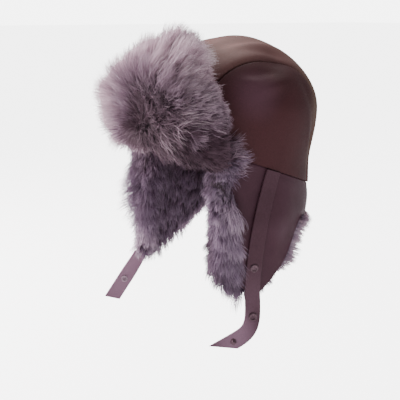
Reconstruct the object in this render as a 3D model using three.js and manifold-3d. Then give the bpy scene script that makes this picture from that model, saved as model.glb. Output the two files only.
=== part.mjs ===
// A leather trapper hat of sheepskin: a three-panel crown, an upturned fur front flap, ear and neck
// flaps lined with long fur, and two loose chin straps with snap fasteners.
// Millimetres. +Z is up, the wearer looks along -Y, the wearer's left is +X.
// The origin is the middle of the head opening, where the hat sits on a head.
import * as THREE from "three";
import { mergeVertices } from "three/addons/utils/BufferGeometryUtils.js";
import Module from "manifold-3d";

const wasm = await Module();
wasm.setup();

// Crown: outer sizes of the leather.
const crownWidth = 186;
const crownLength = 210;
const crownTop = 125;
const crownWidest = 40;
const rimFront = 14;
const rimBack = -59;
const drawWidth = 5;
const drawLength = 9;
const drawHeight = 70;
const leatherThickness = 2;
const seamGap = 0.4;
const stripFrontWidth = 116;
const stripMiddleWidth = 130;
const stripBackWidth = 140;

// Ear and neck flaps.
const earDrop = 154;
const neckDrop = 38;
const flapFrontBearing = 55;
const flapInset = 1.2;
const rightSwingAngle = 21;
const rightSwingAngleLow = 18;
const rightSwingAhead = 12;
const rightSwingAheadLow = 6;
const rightFlare = 15;

// Fur.
const layGap = 0.45;
const earFurDepth = 13;
const earFurRoll = 11;
const earFurForward = 27;
const earFurBelow = 11;
const lockLength = 22;
const lockWidth = 16;

// Front flap.
const frontFlapBearing = 52;
const frontFlapHeight = 98;
const frontFlapPeak = 0.2;
const frontFlapFall = 0.5;
const frontFlapStandOff = 9;
const frontFlapLeanFrom = 62;
const frontFlapLean = 40;
const frontFurDepth = 38;
const frontFurOver = 14;
const frontFurUnder = 12;
const frontFurDroop = 10;
const frontFurBearing = 54;
const browDrop = 13;
const browFurDepth = 10;

// Chin straps and snaps.
const strapWidth = 19;
const strapThickness = 2.6;
const strapTopBearing = 86;
const strapBottomBearing = 72;
const strapBend = 1.8;
const snapRadius = 5.6;
const snapCapHeight = 1.5;
const snapPostRadius = 1.9;
const overlaySteps = 12;

// Facets.
const flapSteps = 36;
const flapRows = 5;
const frontSteps = 14;
const frontRows = 5;

const rad = THREE.MathUtils.degToRad;
const halfWidth = crownWidth / 2;
const halfLength = crownLength / 2;
const rimMiddle = (rimFront + rimBack) / 2;
const rimTilt = (rimFront - rimBack) / 2;

// Dents and soft folds of the crown. Places and reaches are shares of the half width, the half length
// and the top height; depth is a share of the crown's width, and negative depths stand proud.
const crownDents = [
  { across: 0.77, along: 0.1, up: 0.8, reachAcross: 0.22, reachAlong: 0.26, reachUp: 0.09, depth: 0.026 },
  { across: 0.9, along: 0.12, up: 0.63, reachAcross: 0.25, reachAlong: 0.3, reachUp: 0.09, depth: -0.01 },
  { across: 0.3, along: 0.0, up: 0.97, reachAcross: 0.12, reachAlong: 0.5, reachUp: 0.2, depth: 0.014 },
  { across: -0.35, along: 0.15, up: 0.95, reachAcross: 0.14, reachAlong: 0.4, reachUp: 0.2, depth: 0.01 },
  { across: 0.5, along: 0.86, up: -0.18, reachAcross: 0.18, reachAlong: 0.2, reachUp: 0.2, depth: 0.016 },
  { across: -0.8, along: -0.05, up: 0.76, reachAcross: 0.22, reachAlong: 0.3, reachUp: 0.1, depth: 0.018 },
  { across: 0.1, along: 0.66, up: 0.78, reachAcross: 0.9, reachAlong: 0.4, reachUp: 0.32, depth: 0.019 },
];

// Drop of the leather's lower edge: bearing from the front in degrees, and the share of the way from
// the neck's drop to the ear's drop.
const lowerEdge = [
  { bearing: 50, share: 0.88 },
  { bearing: 56, share: 0.92 },
  { bearing: 62, share: 0.96 },
  { bearing: 68, share: 0.99 },
  { bearing: 72, share: 1.0 },
  { bearing: 78, share: 0.98 },
  { bearing: 86, share: 0.84 },
  { bearing: 96, share: 0.64 },
  { bearing: 102, share: 0.52 },
  { bearing: 108, share: 0.33 },
  { bearing: 114, share: 0.16 },
  { bearing: 122, share: 0.06 },
  { bearing: 150, share: 0 },
  { bearing: 180, share: 0 },
];

// The free end of each strap as short runs: run is a share of the strap's width, and the turns are
// degrees. lean swings the strap forwards in its own plane, curl bends it off the head, twist turns it.
const leftStrapRuns = [
  { run: 0.6, lean: -3, curl: 0, twist: 0 },
  { run: 0.6, lean: 2, curl: 2, twist: 0 },
  { run: 0.55, lean: 6, curl: 4, twist: 4 },
  { run: 0.5, lean: 14, curl: 4, twist: 6 },
  { run: 0.45, lean: 20, curl: 2, twist: 6 },
  { run: 0.45, lean: 16, curl: 0, twist: 4 },
  { run: 0.55, lean: 8, curl: 0, twist: 2 },
  { run: 0.65, lean: 2, curl: 0, twist: 0 },
];
const rightStrapRuns = [
  { run: 0.12, lean: 6, curl: 0, twist: -12 },
  { run: 0.12, lean: 6, curl: 0, twist: -12 },
  { run: 0.45, lean: 5, curl: -1, twist: -2 },
  { run: 0.66, lean: 3, curl: -1, twist: -12 },
  { run: 0.67, lean: 1, curl: 0, twist: -9 },
  { run: 0.66, lean: 0, curl: 0, twist: 0 },
  { run: 1.2, lean: 0, curl: 1, twist: 0 },
];
// A snap sits at a share of the strap's path; socket is the ring form, stud the small one.
const leftSnaps = [
  { name: "left_flap_snap", share: 0.48, size: 1.0 },
  { name: "left_snap_socket", share: 0.735, size: 1.0 },
  { name: "left_snap_stud", share: 0.945, size: 0.72 },
];
const rightSnaps = [
  { name: "right_flap_snap", share: 0.505, size: 1.0 },
  { name: "right_snap_stud", share: 0.763, size: 0.72 },
  { name: "right_snap_socket", share: 0.921, size: 1.0 },
];

function lookUp(table, key, value, at) {
  if (at <= table[0][key]) return table[0][value];
  for (let i = 1; i < table.length; i++) {
    if (at <= table[i][key]) {
      const span = table[i][key] - table[i - 1][key];
      const t = (at - table[i - 1][key]) / span;
      return table[i - 1][value] + (table[i][value] - table[i - 1][value]) * t;
    }
  }
  return table[table.length - 1][value];
}

// Eases from 0 at from to 1 at to; from may be the larger.
function smooth(from, to, x) {
  const t = THREE.MathUtils.clamp((x - from) / (to - from), 0, 1);
  return t * t * (3 - 2 * t);
}

// An uneven but fixed number from -1 to 1, for natural variation between locks.
function uneven(i, k) {
  return Math.sin(i * 12.9898 + k * 4.1414 + Math.sin(i * 3.7 + k) * 2.3);
}

function solidFrom(positions, indices) {
  const geometry = new THREE.BufferGeometry();
  geometry.setAttribute("position", new THREE.BufferAttribute(new Float32Array(positions), 3));
  geometry.setIndex(indices);
  const merged = mergeVertices(geometry, 1e-3);
  const vertProperties = merged.attributes.position.array;
  const triVerts = new Uint32Array(merged.index.array);
  const solid = new wasm.Manifold(new wasm.Mesh({ numProp: 3, vertProperties, triVerts }));
  if (solid.volume() > 0) return solid;
  for (let i = 0; i < triVerts.length; i += 3) {
    [triVerts[i + 1], triVerts[i + 2]] = [triVerts[i + 2], triVerts[i + 1]];
  }
  return new wasm.Manifold(new wasm.Mesh({ numProp: 3, vertProperties, triVerts }));
}

function solidOf(geometry) {
  const bare = geometry.index ? geometry.clone() : mergeVertices(geometry);
  bare.deleteAttribute("normal");
  bare.deleteAttribute("uv");
  const merged = mergeVertices(bare, 1e-4);
  return solidFrom(merged.attributes.position.array, [...merged.index.array]);
}

// A closed body through loops of points, each loop the same length, with its two ends capped.
// capPlane gives a loop's points as flat 2-D points for the caps.
function loftLoops(loops, capPlane) {
  const count = loops[0].length;
  const positions = loops.flat().flatMap((p) => [p.x, p.y, p.z]);
  const indices = [];
  for (let i = 0; i + 1 < loops.length; i++) {
    for (let j = 0; j < count; j++) {
      const a = i * count + j;
      const b = i * count + ((j + 1) % count);
      indices.push(a, b, b + count, a, b + count, a + count);
    }
  }
  const last = (loops.length - 1) * count;
  for (const [a, b, c] of THREE.ShapeUtils.triangulateShape(capPlane(0), [])) {
    indices.push(...orderedCap(capPlane(0), a, b, c, false));
  }
  for (const [a, b, c] of THREE.ShapeUtils.triangulateShape(capPlane(loops.length - 1), [])) {
    const [d, e, f] = orderedCap(capPlane(loops.length - 1), a, b, c, true);
    indices.push(last + d, last + e, last + f);
  }
  return solidFrom(positions, indices);
}

// A cap triangle turned so that its edges run against the side walls' edges.
function orderedCap(points, a, b, c, far) {
  const forwards = THREE.ShapeUtils.area(points) > 0;
  const turn = THREE.ShapeUtils.area([points[a], points[b], points[c]]) > 0;
  return (turn === forwards) === far ? [a, b, c] : [a, c, b];
}

function meshOf(name, solid, material) {
  const mesh = solid.getMesh();
  const geometry = new THREE.BufferGeometry();
  const points = new Float32Array(mesh.numVert * 3);
  for (let i = 0; i < mesh.numVert; i++) {
    points.set(mesh.vertProperties.subarray(i * mesh.numProp, i * mesh.numProp + 3), i * 3);
  }
  geometry.setAttribute("position", new THREE.BufferAttribute(points, 3));
  geometry.setIndex(new THREE.BufferAttribute(new Uint32Array(mesh.triVerts), 1));
  geometry.computeVertexNormals();
  const made = new THREE.Mesh(geometry, material);
  made.name = name;
  return made;
}

// Crown and wall surfaces, by bearing from the front in degrees, positive towards the wearer's left.
function rimHeight(bearing) {
  return rimMiddle + rimTilt * Math.cos(rad(bearing));
}

function wallPoint(bearing, z, out) {
  const drawn = smooth(crownWidest, crownWidest - drawHeight, z);
  const a = halfWidth - drawWidth * drawn + out;
  const b = halfLength - drawLength * drawn + out;
  return new THREE.Vector3(a * Math.sin(rad(bearing)), -b * Math.cos(rad(bearing)), z);
}

function dented(point) {
  let push = 0;
  for (const dent of crownDents) {
    const across = (point.x / halfWidth - dent.across) / dent.reachAcross;
    const along = (point.y / halfLength - dent.along) / dent.reachAlong;
    const up = (point.z / crownTop - dent.up) / dent.reachUp;
    push += dent.depth * crownWidth * Math.exp(-(across * across + along * along + up * up));
  }
  const inwards = new THREE.Vector3(-point.x, -point.y, -point.z).normalize();
  return point.addScaledVector(inwards, push);
}

// level runs from -1 at the rim over 0 at the widest place to 1 at the top.
function crownPoint(bearing, level, inset) {
  if (level < 0) {
    const rim = rimHeight(bearing);
    return dented(wallPoint(bearing, crownWidest + level * (crownWidest - rim), -inset));
  }
  const arc = (level * Math.PI) / 2;
  const x = (halfWidth - inset) * Math.cos(arc) * Math.sin(rad(bearing));
  const y = -(halfLength - inset) * Math.cos(arc) * Math.cos(rad(bearing));
  return dented(new THREE.Vector3(x, y, crownWidest + (crownTop - crownWidest - inset) * Math.sin(arc)));
}

function makeCrownShell() {
  const columns = 40;
  const levels = [-1, -0.66, -0.33, 0, 0.16, 0.32, 0.47, 0.6, 0.73, 0.87];
  const positions = [];
  const indices = [];
  for (const inset of [0, leatherThickness]) {
    for (const level of levels) {
      for (let j = 0; j < columns; j++) {
        positions.push(...crownPoint((j * 360) / columns, level, inset).toArray());
      }
    }
    positions.push(...crownPoint(0, 1, inset).toArray());
  }
  const sheet = levels.length * columns + 1;
  const at = (side, i, j) => side * sheet + i * columns + (j % columns);
  for (const side of [0, 1]) {
    const push = (a, b, c) => (side ? indices.push(a, c, b) : indices.push(a, b, c));
    for (let i = 0; i + 1 < levels.length; i++) {
      for (let j = 0; j < columns; j++) {
        push(at(side, i, j), at(side, i, j + 1), at(side, i + 1, j + 1));
        push(at(side, i, j), at(side, i + 1, j + 1), at(side, i + 1, j));
      }
    }
    for (let j = 0; j < columns; j++) {
      push(at(side, levels.length - 1, j), at(side, levels.length - 1, j + 1), side * sheet + sheet - 1);
    }
  }
  for (let j = 0; j < columns; j++) {
    indices.push(at(0, 0, j), at(1, 0, j), at(1, 0, j + 1), at(0, 0, j), at(1, 0, j + 1), at(0, 0, j + 1));
  }
  return solidFrom(positions, indices);
}

// An upright prism whose plan is the centre strip's, wider at the back than at the front.
function makeStripCutter(extra) {
  const reach = crownLength;
  const sides = [];
  const steps = 16;
  for (let i = 0; i <= steps; i++) {
    const y = -halfLength + (crownLength * i) / steps;
    const t = i / steps;
    const width =
      t < 0.5
        ? THREE.MathUtils.lerp(stripFrontWidth, stripMiddleWidth, smooth(0, 0.5, t))
        : THREE.MathUtils.lerp(stripMiddleWidth, stripBackWidth, smooth(0.5, 1, t));
    sides.push(new THREE.Vector2(width / 2 + extra, y));
  }
  sides.unshift(new THREE.Vector2(sides[0].x, -reach));
  sides.push(new THREE.Vector2(sides[sides.length - 1].x, reach));
  const outline = [...sides, ...sides.map((p) => new THREE.Vector2(-p.x, p.y)).reverse()];
  const geometry = new THREE.ExtrudeGeometry(new THREE.Shape(outline), {
    depth: 2 * reach,
    bevelEnabled: false,
  });
  geometry.translate(0, 0, -reach);
  return solidOf(geometry);
}

function makeCrownPanels() {
  const shell = makeCrownShell();
  const strip = shell.intersect(makeStripCutter(-seamGap / 2));
  const sides = shell.subtract(makeStripCutter(seamGap / 2));
  const half = new THREE.BoxGeometry(crownWidth, 2 * crownLength, 4 * crownTop);
  half.translate(crownWidth / 2, 0, 0);
  const leftHalf = solidOf(half);
  return { strip, left: sides.intersect(leftHalf), right: sides.subtract(leftHalf) };
}

// Ear and neck flap surface: drop is measured down from the rim. The right flap swings forwards and
// flares a little; the left one hangs straight.
function flapPoint(bearing, drop, out) {
  const free = bearing < 0 ? smooth(175, 105, -bearing) : 0;
  const low = smooth(0.4 * earDrop, 0.94 * earDrop, drop);
  const angle = THREE.MathUtils.lerp(
    THREE.MathUtils.lerp(rightSwingAhead, rightSwingAheadLow, low),
    THREE.MathUtils.lerp(rightSwingAngle, rightSwingAngleLow, low),
    smooth(40, 75, -bearing),
  );
  const swing = rad(angle * free);
  const point = wallPoint(bearing, rimHeight(bearing) - drop * Math.cos(swing), out - flapInset);
  point.y -= Math.sin(swing) * drop;
  point.x -= (rightFlare * free * drop) / earDrop;
  return point;
}

function edgeDrop(bearing) {
  return neckDrop + (earDrop - neckDrop) * lookUp(lowerEdge, "bearing", "share", Math.abs(bearing));
}

// Bearings from the left front edge round the back to the right front edge. The right side has
// negative bearings, so the back is both 180 and -180.
function bearingsRound(firstBearing, steps) {
  const list = [];
  for (let i = 0; i <= steps; i++) {
    const round = firstBearing + ((360 - 2 * firstBearing) * i) / steps;
    list.push(round <= 180 ? round : round - 360);
  }
  return list;
}

function makeFlapLeather() {
  const inner = -leatherThickness;
  const loops = bearingsRound(flapFrontBearing, flapSteps).map((bearing) => {
    const low = edgeDrop(bearing);
    const drops = flapDrops(seamGap, low);
    const outer = drops.map((drop) => flapPoint(bearing, drop, 0));
    return [...outer, ...drops.reverse().map((drop) => flapPoint(bearing, drop, inner))];
  });
  return loftLoops(loops, () => flatLoop(flapRows + 1, leatherThickness, earDrop));
}

function flapDrops(high, low) {
  return Array.from({ length: flapRows + 1 }, (_, i) => high + ((low - high) * i) / flapRows);
}

// A thin wall's loop laid flat, for triangulating its end caps.
function flatLoop(points, thickness, height) {
  const step = height / points;
  const rows = Array.from({ length: points }, (_, i) => i);
  const down = rows.map((i) => new THREE.Vector2(thickness, -step * i));
  const up = rows.map((i) => new THREE.Vector2(0, -step * (points - 1 - i)));
  return [...down, ...up];
}

// One lock of fur: a bent taper from root to tip, its bow pushed towards bow.
function makeLock(root, tip, bow, width) {
  const along = tip.clone().sub(root);
  const across = along.clone().cross(bow).normalize();
  const thick = across.clone().cross(along).normalize();
  const sides = 4;
  const rings = [
    { t: 0, size: 0.6 },
    { t: 0.6, size: 0.42 },
  ];
  const positions = [];
  const indices = [];
  for (const { t, size } of rings) {
    const middle = root.clone().addScaledVector(along, t).addScaledVector(bow, 4 * t * (1 - t));
    for (let k = 0; k < sides; k++) {
      const turn = (k * 2 * Math.PI) / sides;
      const point = middle
        .clone()
        .addScaledVector(across, Math.cos(turn) * size * width)
        .addScaledVector(thick, Math.sin(turn) * size * width * 0.6);
      positions.push(...point.toArray());
    }
  }
  positions.push(...tip.toArray());
  const end = rings.length * sides;
  for (let i = 0; i + 1 < rings.length; i++) {
    for (let k = 0; k < sides; k++) {
      const a = i * sides + k;
      const b = i * sides + ((k + 1) % sides);
      indices.push(a, b, b + sides, a, b + sides, a + sides);
    }
  }
  for (let k = 0; k < sides; k++) {
    indices.push((rings.length - 1) * sides + k, (rings.length - 1) * sides + ((k + 1) % sides), end);
  }
  for (let k = 1; k + 1 < sides; k++) indices.push(0, k + 1, k);
  return solidFrom(positions, indices);
}

// Fur of the ear and neck flaps: a thick lining whose front edge is a roll that shows outside the
// leather, with locks along every free edge.
function flapFurBearings() {
  const front = flapFrontBearing - (earFurForward / halfLength) * (180 / Math.PI);
  const edge = flapFrontBearing - ((2 * layGap) / halfLength) * (180 / Math.PI);
  const ahead = [0, 0.25, 0.5, 0.75, 0.97].map((t) => THREE.MathUtils.lerp(front, edge, t));
  const behind = bearingsRound(edge, flapSteps);
  return { front, edge, list: [...ahead, ...behind, ...ahead.map((bearing) => -bearing).reverse()] };
}

function flapFurEdge(bearing, front) {
  const ahead = smooth(flapFrontBearing, front, Math.abs(bearing));
  return {
    ahead,
    high: seamGap + 8 * ahead,
    low: edgeDrop(Math.max(Math.abs(bearing), flapFrontBearing)) + earFurBelow - 10 * ahead,
  };
}

function makeFlapFur() {
  const inner = -leatherThickness - 2 * layGap;
  const { front, edge, list } = flapFurBearings();
  const loops = list.map((bearing) => {
    const { high, low } = flapFurEdge(bearing, front);
    const share = (edge - Math.abs(bearing)) / (edge - front);
    const inFront = share > 0.01;
    const roll = earFurRoll * Math.sin(Math.PI * (0.3 + 0.62 * share));
    const puff = (drop) => 1 + (bearing < 0 ? 1.9 : 0.8) * smooth(110, 0, drop);
    const skin = (drop) => (inFront ? roll * puff(drop) : inner);
    const face = inner - earFurDepth * (inFront ? 1 - 0.7 * share ** 2 : 1);
    const back = flapDrops(high, low - earFurBelow).map((drop) => flapPoint(bearing, drop, skin(drop)));
    const under = [
      flapPoint(bearing, low - 1, skin(low) - 1),
      flapPoint(bearing, low - 1, (skin(low) + face) / 2 - 3),
    ];
    const fore = flapDrops(low - 5, high).map((drop) => flapPoint(bearing, drop, face));
    return [...back, ...under, ...fore];
  });
  const pad = loftLoops(loops, () => flatLoop(flapRows + 2, earFurDepth, earDrop));
  const fur = wasm.Manifold.union([pad, ...makeFlapLocks(front)]);
  return fur.subtract(makeAboveParting());
}

function makeFlapLocks(front) {
  const locks = [];
  const rollRows = 5;
  const width = lockWidth;
  for (const side of [1, -1]) {
    for (let i = 0; i < rollRows; i++) {
      const { high, low } = flapFurEdge(front + 4, front);
      const drop = THREE.MathUtils.lerp(high + 6, low - 8, i / (rollRows - 1));
      const long = lockLength * (1 + 0.25 * uneven(i, side));
      const root = flapPoint(side * (front + 4), drop, -3);
      const tip = flapPoint(side * (front - 4), drop + long * 0.8, -3 + 3 * uneven(i, 2));
      locks.push(makeLock(root, tip, new THREE.Vector3(0, -2, 0), width));
      const outRoot = flapPoint(side * (front + 8), drop, 7);
      const outTip = flapPoint(side * (flapFrontBearing + 4), drop + long, 10 + uneven(i, 5));
      const bow = flapPoint(side * (front + 10), drop, 10).sub(flapPoint(side * (front + 10), drop, 7));
      locks.push(makeLock(outRoot, outTip, bow, width));
    }
  }
  bearingsRound(front + 5, 24).forEach((bearing, i) => {
    const { low } = flapFurEdge(bearing, front);
    const long = lockLength * (0.75 + 0.2 * uneven(i, 1));
    const root = flapPoint(bearing, low - 7, -leatherThickness - 7);
    const tip = flapPoint(bearing + 2 * uneven(i, 3), low - 7 + long, -5 + 2 * uneven(i, 4));
    locks.push(makeLock(root, tip, new THREE.Vector3(0, 0, -1), width * 0.9));
  });
  return locks;
}

// Front flap: rise runs from 0 at the fold to 1 at the top edge.
function frontFlapTop(bearing) {
  const share = bearing / frontFlapBearing;
  const end = Math.abs(share - frontFlapPeak * (1 - share ** 2));
  return frontFlapHeight * (1 - frontFlapFall * end ** 2.4);
}

function frontFlapPoint(bearing, rise, out) {
  const z = rimHeight(bearing) + seamGap + rise * frontFlapTop(bearing);
  const back = Math.max(0, z - frontFlapLeanFrom) / (frontFlapHeight + rimFront - frontFlapLeanFrom);
  const stand = layGap + frontFlapStandOff * 1.56 * rise * (1.6 - rise) - frontFlapLean * back ** 2;
  return wallPoint(bearing, z, stand + out);
}

function frontBearings(reach, steps) {
  return Array.from({ length: steps + 1 }, (_, i) => reach * (1 - (2 * i) / steps));
}

function frontRises() {
  return Array.from({ length: frontRows + 1 }, (_, i) => i / frontRows);
}

function makeFrontFlapLeather() {
  const loops = frontBearings(frontFlapBearing, frontSteps).map((bearing) => {
    const rises = frontRises();
    const outer = rises.map((rise) => frontFlapPoint(bearing, rise, leatherThickness));
    return [...outer, ...rises.reverse().map((rise) => frontFlapPoint(bearing, rise, 0))];
  });
  return loftLoops(loops, () => flatLoop(frontRows + 1, leatherThickness, frontFlapHeight));
}

// Profile of the front flap's fur in one upright plane: down the fur face, under the fold and up
// inside the rim, where it meets the brow, then back up the leather.
function frontFurLoop(bearing) {
  const end = Math.abs(bearing) / (frontFurBearing + 1);
  const full = Math.sqrt(1 - end ** 8);
  const droop = frontFurDroop * smooth(18, 44, Math.abs(bearing));
  const dent = Math.exp(-(((bearing - 6) / 24) ** 2));
  const rim = rimHeight(bearing);
  const skin = leatherThickness + layGap;
  const deep = frontFurDepth * full;
  const face = [
    { rise: 1.0, out: 0.05 - 0.3 * full, lift: 0.55 },
    { rise: 1.0, out: 0.4, lift: 1.0 },
    { rise: 1.0, out: 0.82, lift: 0.55 },
    { rise: 0.84, out: 1.04, lift: 0 },
    { rise: 0.66, out: 1.1 - 0.16 * dent, lift: 0 },
    { rise: 0.47, out: 1.06 - 0.42 * dent, lift: 0 },
    { rise: 0.28, out: 1.06 - 0.36 * dent, lift: 0 },
    { rise: 0.12, out: 1.0 - 0.1 * dent, lift: 0 },
    { rise: 0.0, out: 0.9, lift: 0 },
  ].map(({ rise, out, lift }) => {
    const point = frontFlapPoint(bearing, rise, skin + deep * out);
    point.z += lift * frontFurOver * full - droop * smooth(0.5, 0, rise);
    return point;
  });
  const under = frontFurUnder * (0.4 + 0.6 * full);
  const brow = leatherThickness + layGap;
  const below = [
    wallPoint(bearing, rim - under * 0.75 - droop, deep * 0.66),
    wallPoint(bearing, rim - under - droop * 0.6, deep * 0.25),
    wallPoint(bearing, rim - under * 0.75, -brow - browFurDepth * 0.5),
    wallPoint(bearing, rim - under * 0.2, -brow - browFurDepth),
    wallPoint(bearing, rim + under * 0.7, -brow - browFurDepth * 0.8),
    wallPoint(bearing, rim + under, -brow),
    wallPoint(bearing, rim - layGap, -brow),
    wallPoint(bearing, rim - layGap, layGap + skin),
  ];
  const back = frontRises()
    .slice(1)
    .map((rise) => frontFlapPoint(bearing, rise, skin));
  const over = frontFlapPoint(bearing, 1.0, skin);
  over.z += layGap + 1;
  const overBack = frontFlapPoint(bearing, 1.0, -layGap);
  overBack.z += layGap + 1;
  return [...face, ...below, ...back, over, overBack];
}

function makeFrontFlapFur() {
  const reach = frontFlapBearing + (seamGap / halfLength) * (180 / Math.PI);
  const bearings = [frontFurBearing, ...frontBearings(reach, frontSteps), -frontFurBearing];
  const loops = bearings.map(frontFurLoop);
  const cap = (i) => {
    const bearing = rad(bearings[i]);
    return loops[i].map((p) => new THREE.Vector2(p.x * Math.sin(bearing) - p.y * Math.cos(bearing), p.z));
  };
  const pad = loftLoops(loops, cap);
  const fur = wasm.Manifold.union([pad, ...makeFrontLocks()]);
  return fur.subtract(makeBelowParting(0));
}

// The parting between the front flap's fur and the ear fur, with the body of space below it.
function partingDrop(bearing) {
  return browDrop * smooth(frontFurBearing, frontFurBearing - 9, Math.abs(bearing)) + 0.5;
}

function makeBelowParting(lower) {
  const loops = frontBearings(120, 60).map((bearing) => {
    const high = rimHeight(bearing) - partingDrop(bearing) - lower;
    return [
      wallPoint(bearing, high + 8, -halfWidth / 2),
      wallPoint(bearing, high - 22, halfWidth),
      wallPoint(bearing, high - 2 * earDrop, halfWidth),
      wallPoint(bearing, high - 2 * earDrop, -halfWidth / 2),
    ];
  });
  const square = [
    new THREE.Vector2(0, 0),
    new THREE.Vector2(0, 1),
    new THREE.Vector2(-1, 1),
    new THREE.Vector2(-1, 0),
  ];
  return loftLoops(loops, () => square);
}

function makeAboveParting() {
  const front = new THREE.BoxGeometry(2 * crownWidth, crownLength, earDrop);
  front.translate(0, -halfLength - crownLength / 12, earDrop / 3);
  return solidOf(front).subtract(makeBelowParting(layGap));
}

// Locks in rows over the front flap's fur face. They lean away from the dent in the middle.
function makeFrontLocks() {
  const locks = [];
  const rows = [
    { rise: 1.0, count: 10, lift: 1.0, out: 0.35, long: 1.0 },
    { rise: 0.84, count: 9, lift: 0.62, out: 0.9, long: 1.0 },
    { rise: 0.6, count: 8, lift: 0.36, out: 1.0, long: 1.0 },
    { rise: 0.36, count: 8, lift: -0.1, out: 1.0, long: 0.9 },
    { rise: 0.1, count: 8, lift: -0.62, out: 0.9, long: 0.95 },
    { rise: -0.1, count: 8, lift: -1.0, out: 0.45, long: 0.7 },
  ];
  rows.forEach((row, r) => {
    for (let i = 0; i < row.count; i++) {
      const share = (i + 0.5 + 0.25 * uneven(i, r)) / row.count;
      const bearing = (frontFurBearing - 2) * (1 - 2 * share);
      const inDent = Math.exp(-(((bearing - 6) / 20) ** 2)) * (row.rise > 0.2 && row.rise < 0.7 ? 1 : 0);
      const end = Math.abs(bearing) / (frontFurBearing + 1);
      const full = Math.sqrt(1 - end ** 8);
      const out = leatherThickness + frontFurDepth * row.out * full * (1 - 0.4 * inDent) - 4;
      const root = frontFlapPoint(bearing, row.rise, out);
      const long = lockLength * row.long * (1 + 0.2 * uneven(i, r + 7));
      const spread = bearing + (bearing / frontFlapBearing) * 6 + 2 * uneven(i, r + 3);
      const outward = 0.85 * Math.sqrt(Math.max(0.1, 1 - row.lift ** 2));
      const tip = frontFlapPoint(spread, row.rise, out + long * outward);
      tip.z += long * row.lift;
      const bow = new THREE.Vector3(0, 0, row.rise > 0.5 ? 2 : -2);
      locks.push(makeLock(root, tip, bow, lockWidth * (1 + 0.15 * uneven(i, r + 11))));
    }
  });
  return locks;
}

// A strap's path: frames down the outside of the flap, then the free end's runs.
function strapFrames(side, runs) {
  const frames = [];
  const bottom = edgeDrop(strapBottomBearing) - 2;
  const out = layGap + strapThickness / 2;
  const at = (share) => {
    const left = Math.max(1 - share, 0) ** strapBend;
    const bearing = THREE.MathUtils.lerp(strapBottomBearing, strapTopBearing, left);
    const drop = THREE.MathUtils.lerp(2 * seamGap + 0.5, bottom, share);
    return { bearing, drop };
  };
  for (let i = 0; i <= overlaySteps; i++) {
    const { bearing, drop } = at(i / overlaySteps);
    const middle = flapPoint(side * bearing, drop, out);
    const along = flapPoint(side * bearing, drop + 1, out).sub(flapPoint(side * bearing, drop - 0.5, out));
    const ahead = at(i / overlaySteps + 0.01);
    const down = flapPoint(side * ahead.bearing, ahead.drop, out).sub(middle).normalize();
    const back = flapPoint(side * (bearing + 2), drop, out).sub(flapPoint(side * (bearing - 2), drop, out));
    const normal = back.clone().cross(along).multiplyScalar(-side).normalize();
    const across = normal.clone().cross(down).multiplyScalar(side).normalize();
    frames.push({ middle, down, across, normal });
  }
  let { middle, down, across, normal } = frames[frames.length - 1];
  for (const { run, lean, curl, twist } of runs) {
    const turnBy = (axis, degrees) => {
      down = down.clone().applyAxisAngle(axis, rad(degrees));
      across = across.clone().applyAxisAngle(axis, rad(degrees));
      normal = normal.clone().applyAxisAngle(axis, rad(degrees));
    };
    turnBy(normal, -lean * side);
    turnBy(across, -curl * side);
    turnBy(down, twist * side);
    middle = middle.clone().addScaledVector(down, run * strapWidth);
    frames.push({ middle, down, across, normal });
  }
  return frames;
}

// slant moves the rear edge further along the strap than the front edge, as a share of its width.
function strapLoop({ middle, down, across, normal }, slant) {
  return [
    [-1, -1],
    [1, -1],
    [1, 1],
    [-1, 1],
  ].map(([a, n]) =>
    middle
      .clone()
      .addScaledVector(across, (a * strapWidth) / 2)
      .addScaledVector(normal, (n * strapThickness) / 2)
      .addScaledVector(down, a * slant * strapWidth),
  );
}

// The slant that lays a strap's top edge along the rim.
function rimSlant({ down, across }) {
  const rise = -rimTilt / halfLength;
  return (rise * across.y - across.z) / (2 * (down.z - rise * down.y));
}

function snapFrame(frames, share) {
  const at = share * (frames.length - 1);
  const i = Math.min(frames.length - 2, Math.floor(at));
  const mixed = (key) => frames[i][key].clone().lerp(frames[i + 1][key], at - i);
  const normal = mixed("normal").normalize();
  const matrix = new THREE.Matrix4().makeBasis(
    mixed("across").normalize(),
    normal.clone().cross(mixed("across").normalize()).normalize(),
    normal,
  );
  return matrix.setPosition(mixed("middle"));
}

// A snap fastener: a domed ring outside and a post into the strap. On the free end the post goes
// through to a flat plate inside; on the flap it stops short of the leather.
function makeSnap(size, onFlap) {
  const face = strapThickness / 2 + layGap;
  const cap = snapRadius * size;
  const plate = [
    [0, -face - snapCapHeight / 2],
    [cap * 0.72, -face - snapCapHeight / 2],
    [cap * 0.72, -face],
    [snapPostRadius, -face],
  ];
  const foot = [
    [0, -strapThickness / 2],
    [snapPostRadius, -strapThickness / 2],
  ];
  const profile = [
    ...(onFlap ? foot : plate),
    [snapPostRadius, face],
    [cap, face],
    [cap, face + snapCapHeight * 0.45],
    [cap * 0.8, face + snapCapHeight],
    [cap * 0.52, face + snapCapHeight],
    [cap * 0.42, face + snapCapHeight * 0.45],
    [0, face + snapCapHeight * 0.6],
  ].map(([r, z]) => new THREE.Vector2(r, z));
  const geometry = new THREE.LatheGeometry(profile, 8);
  geometry.rotateX(Math.PI / 2);
  return geometry;
}

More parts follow.
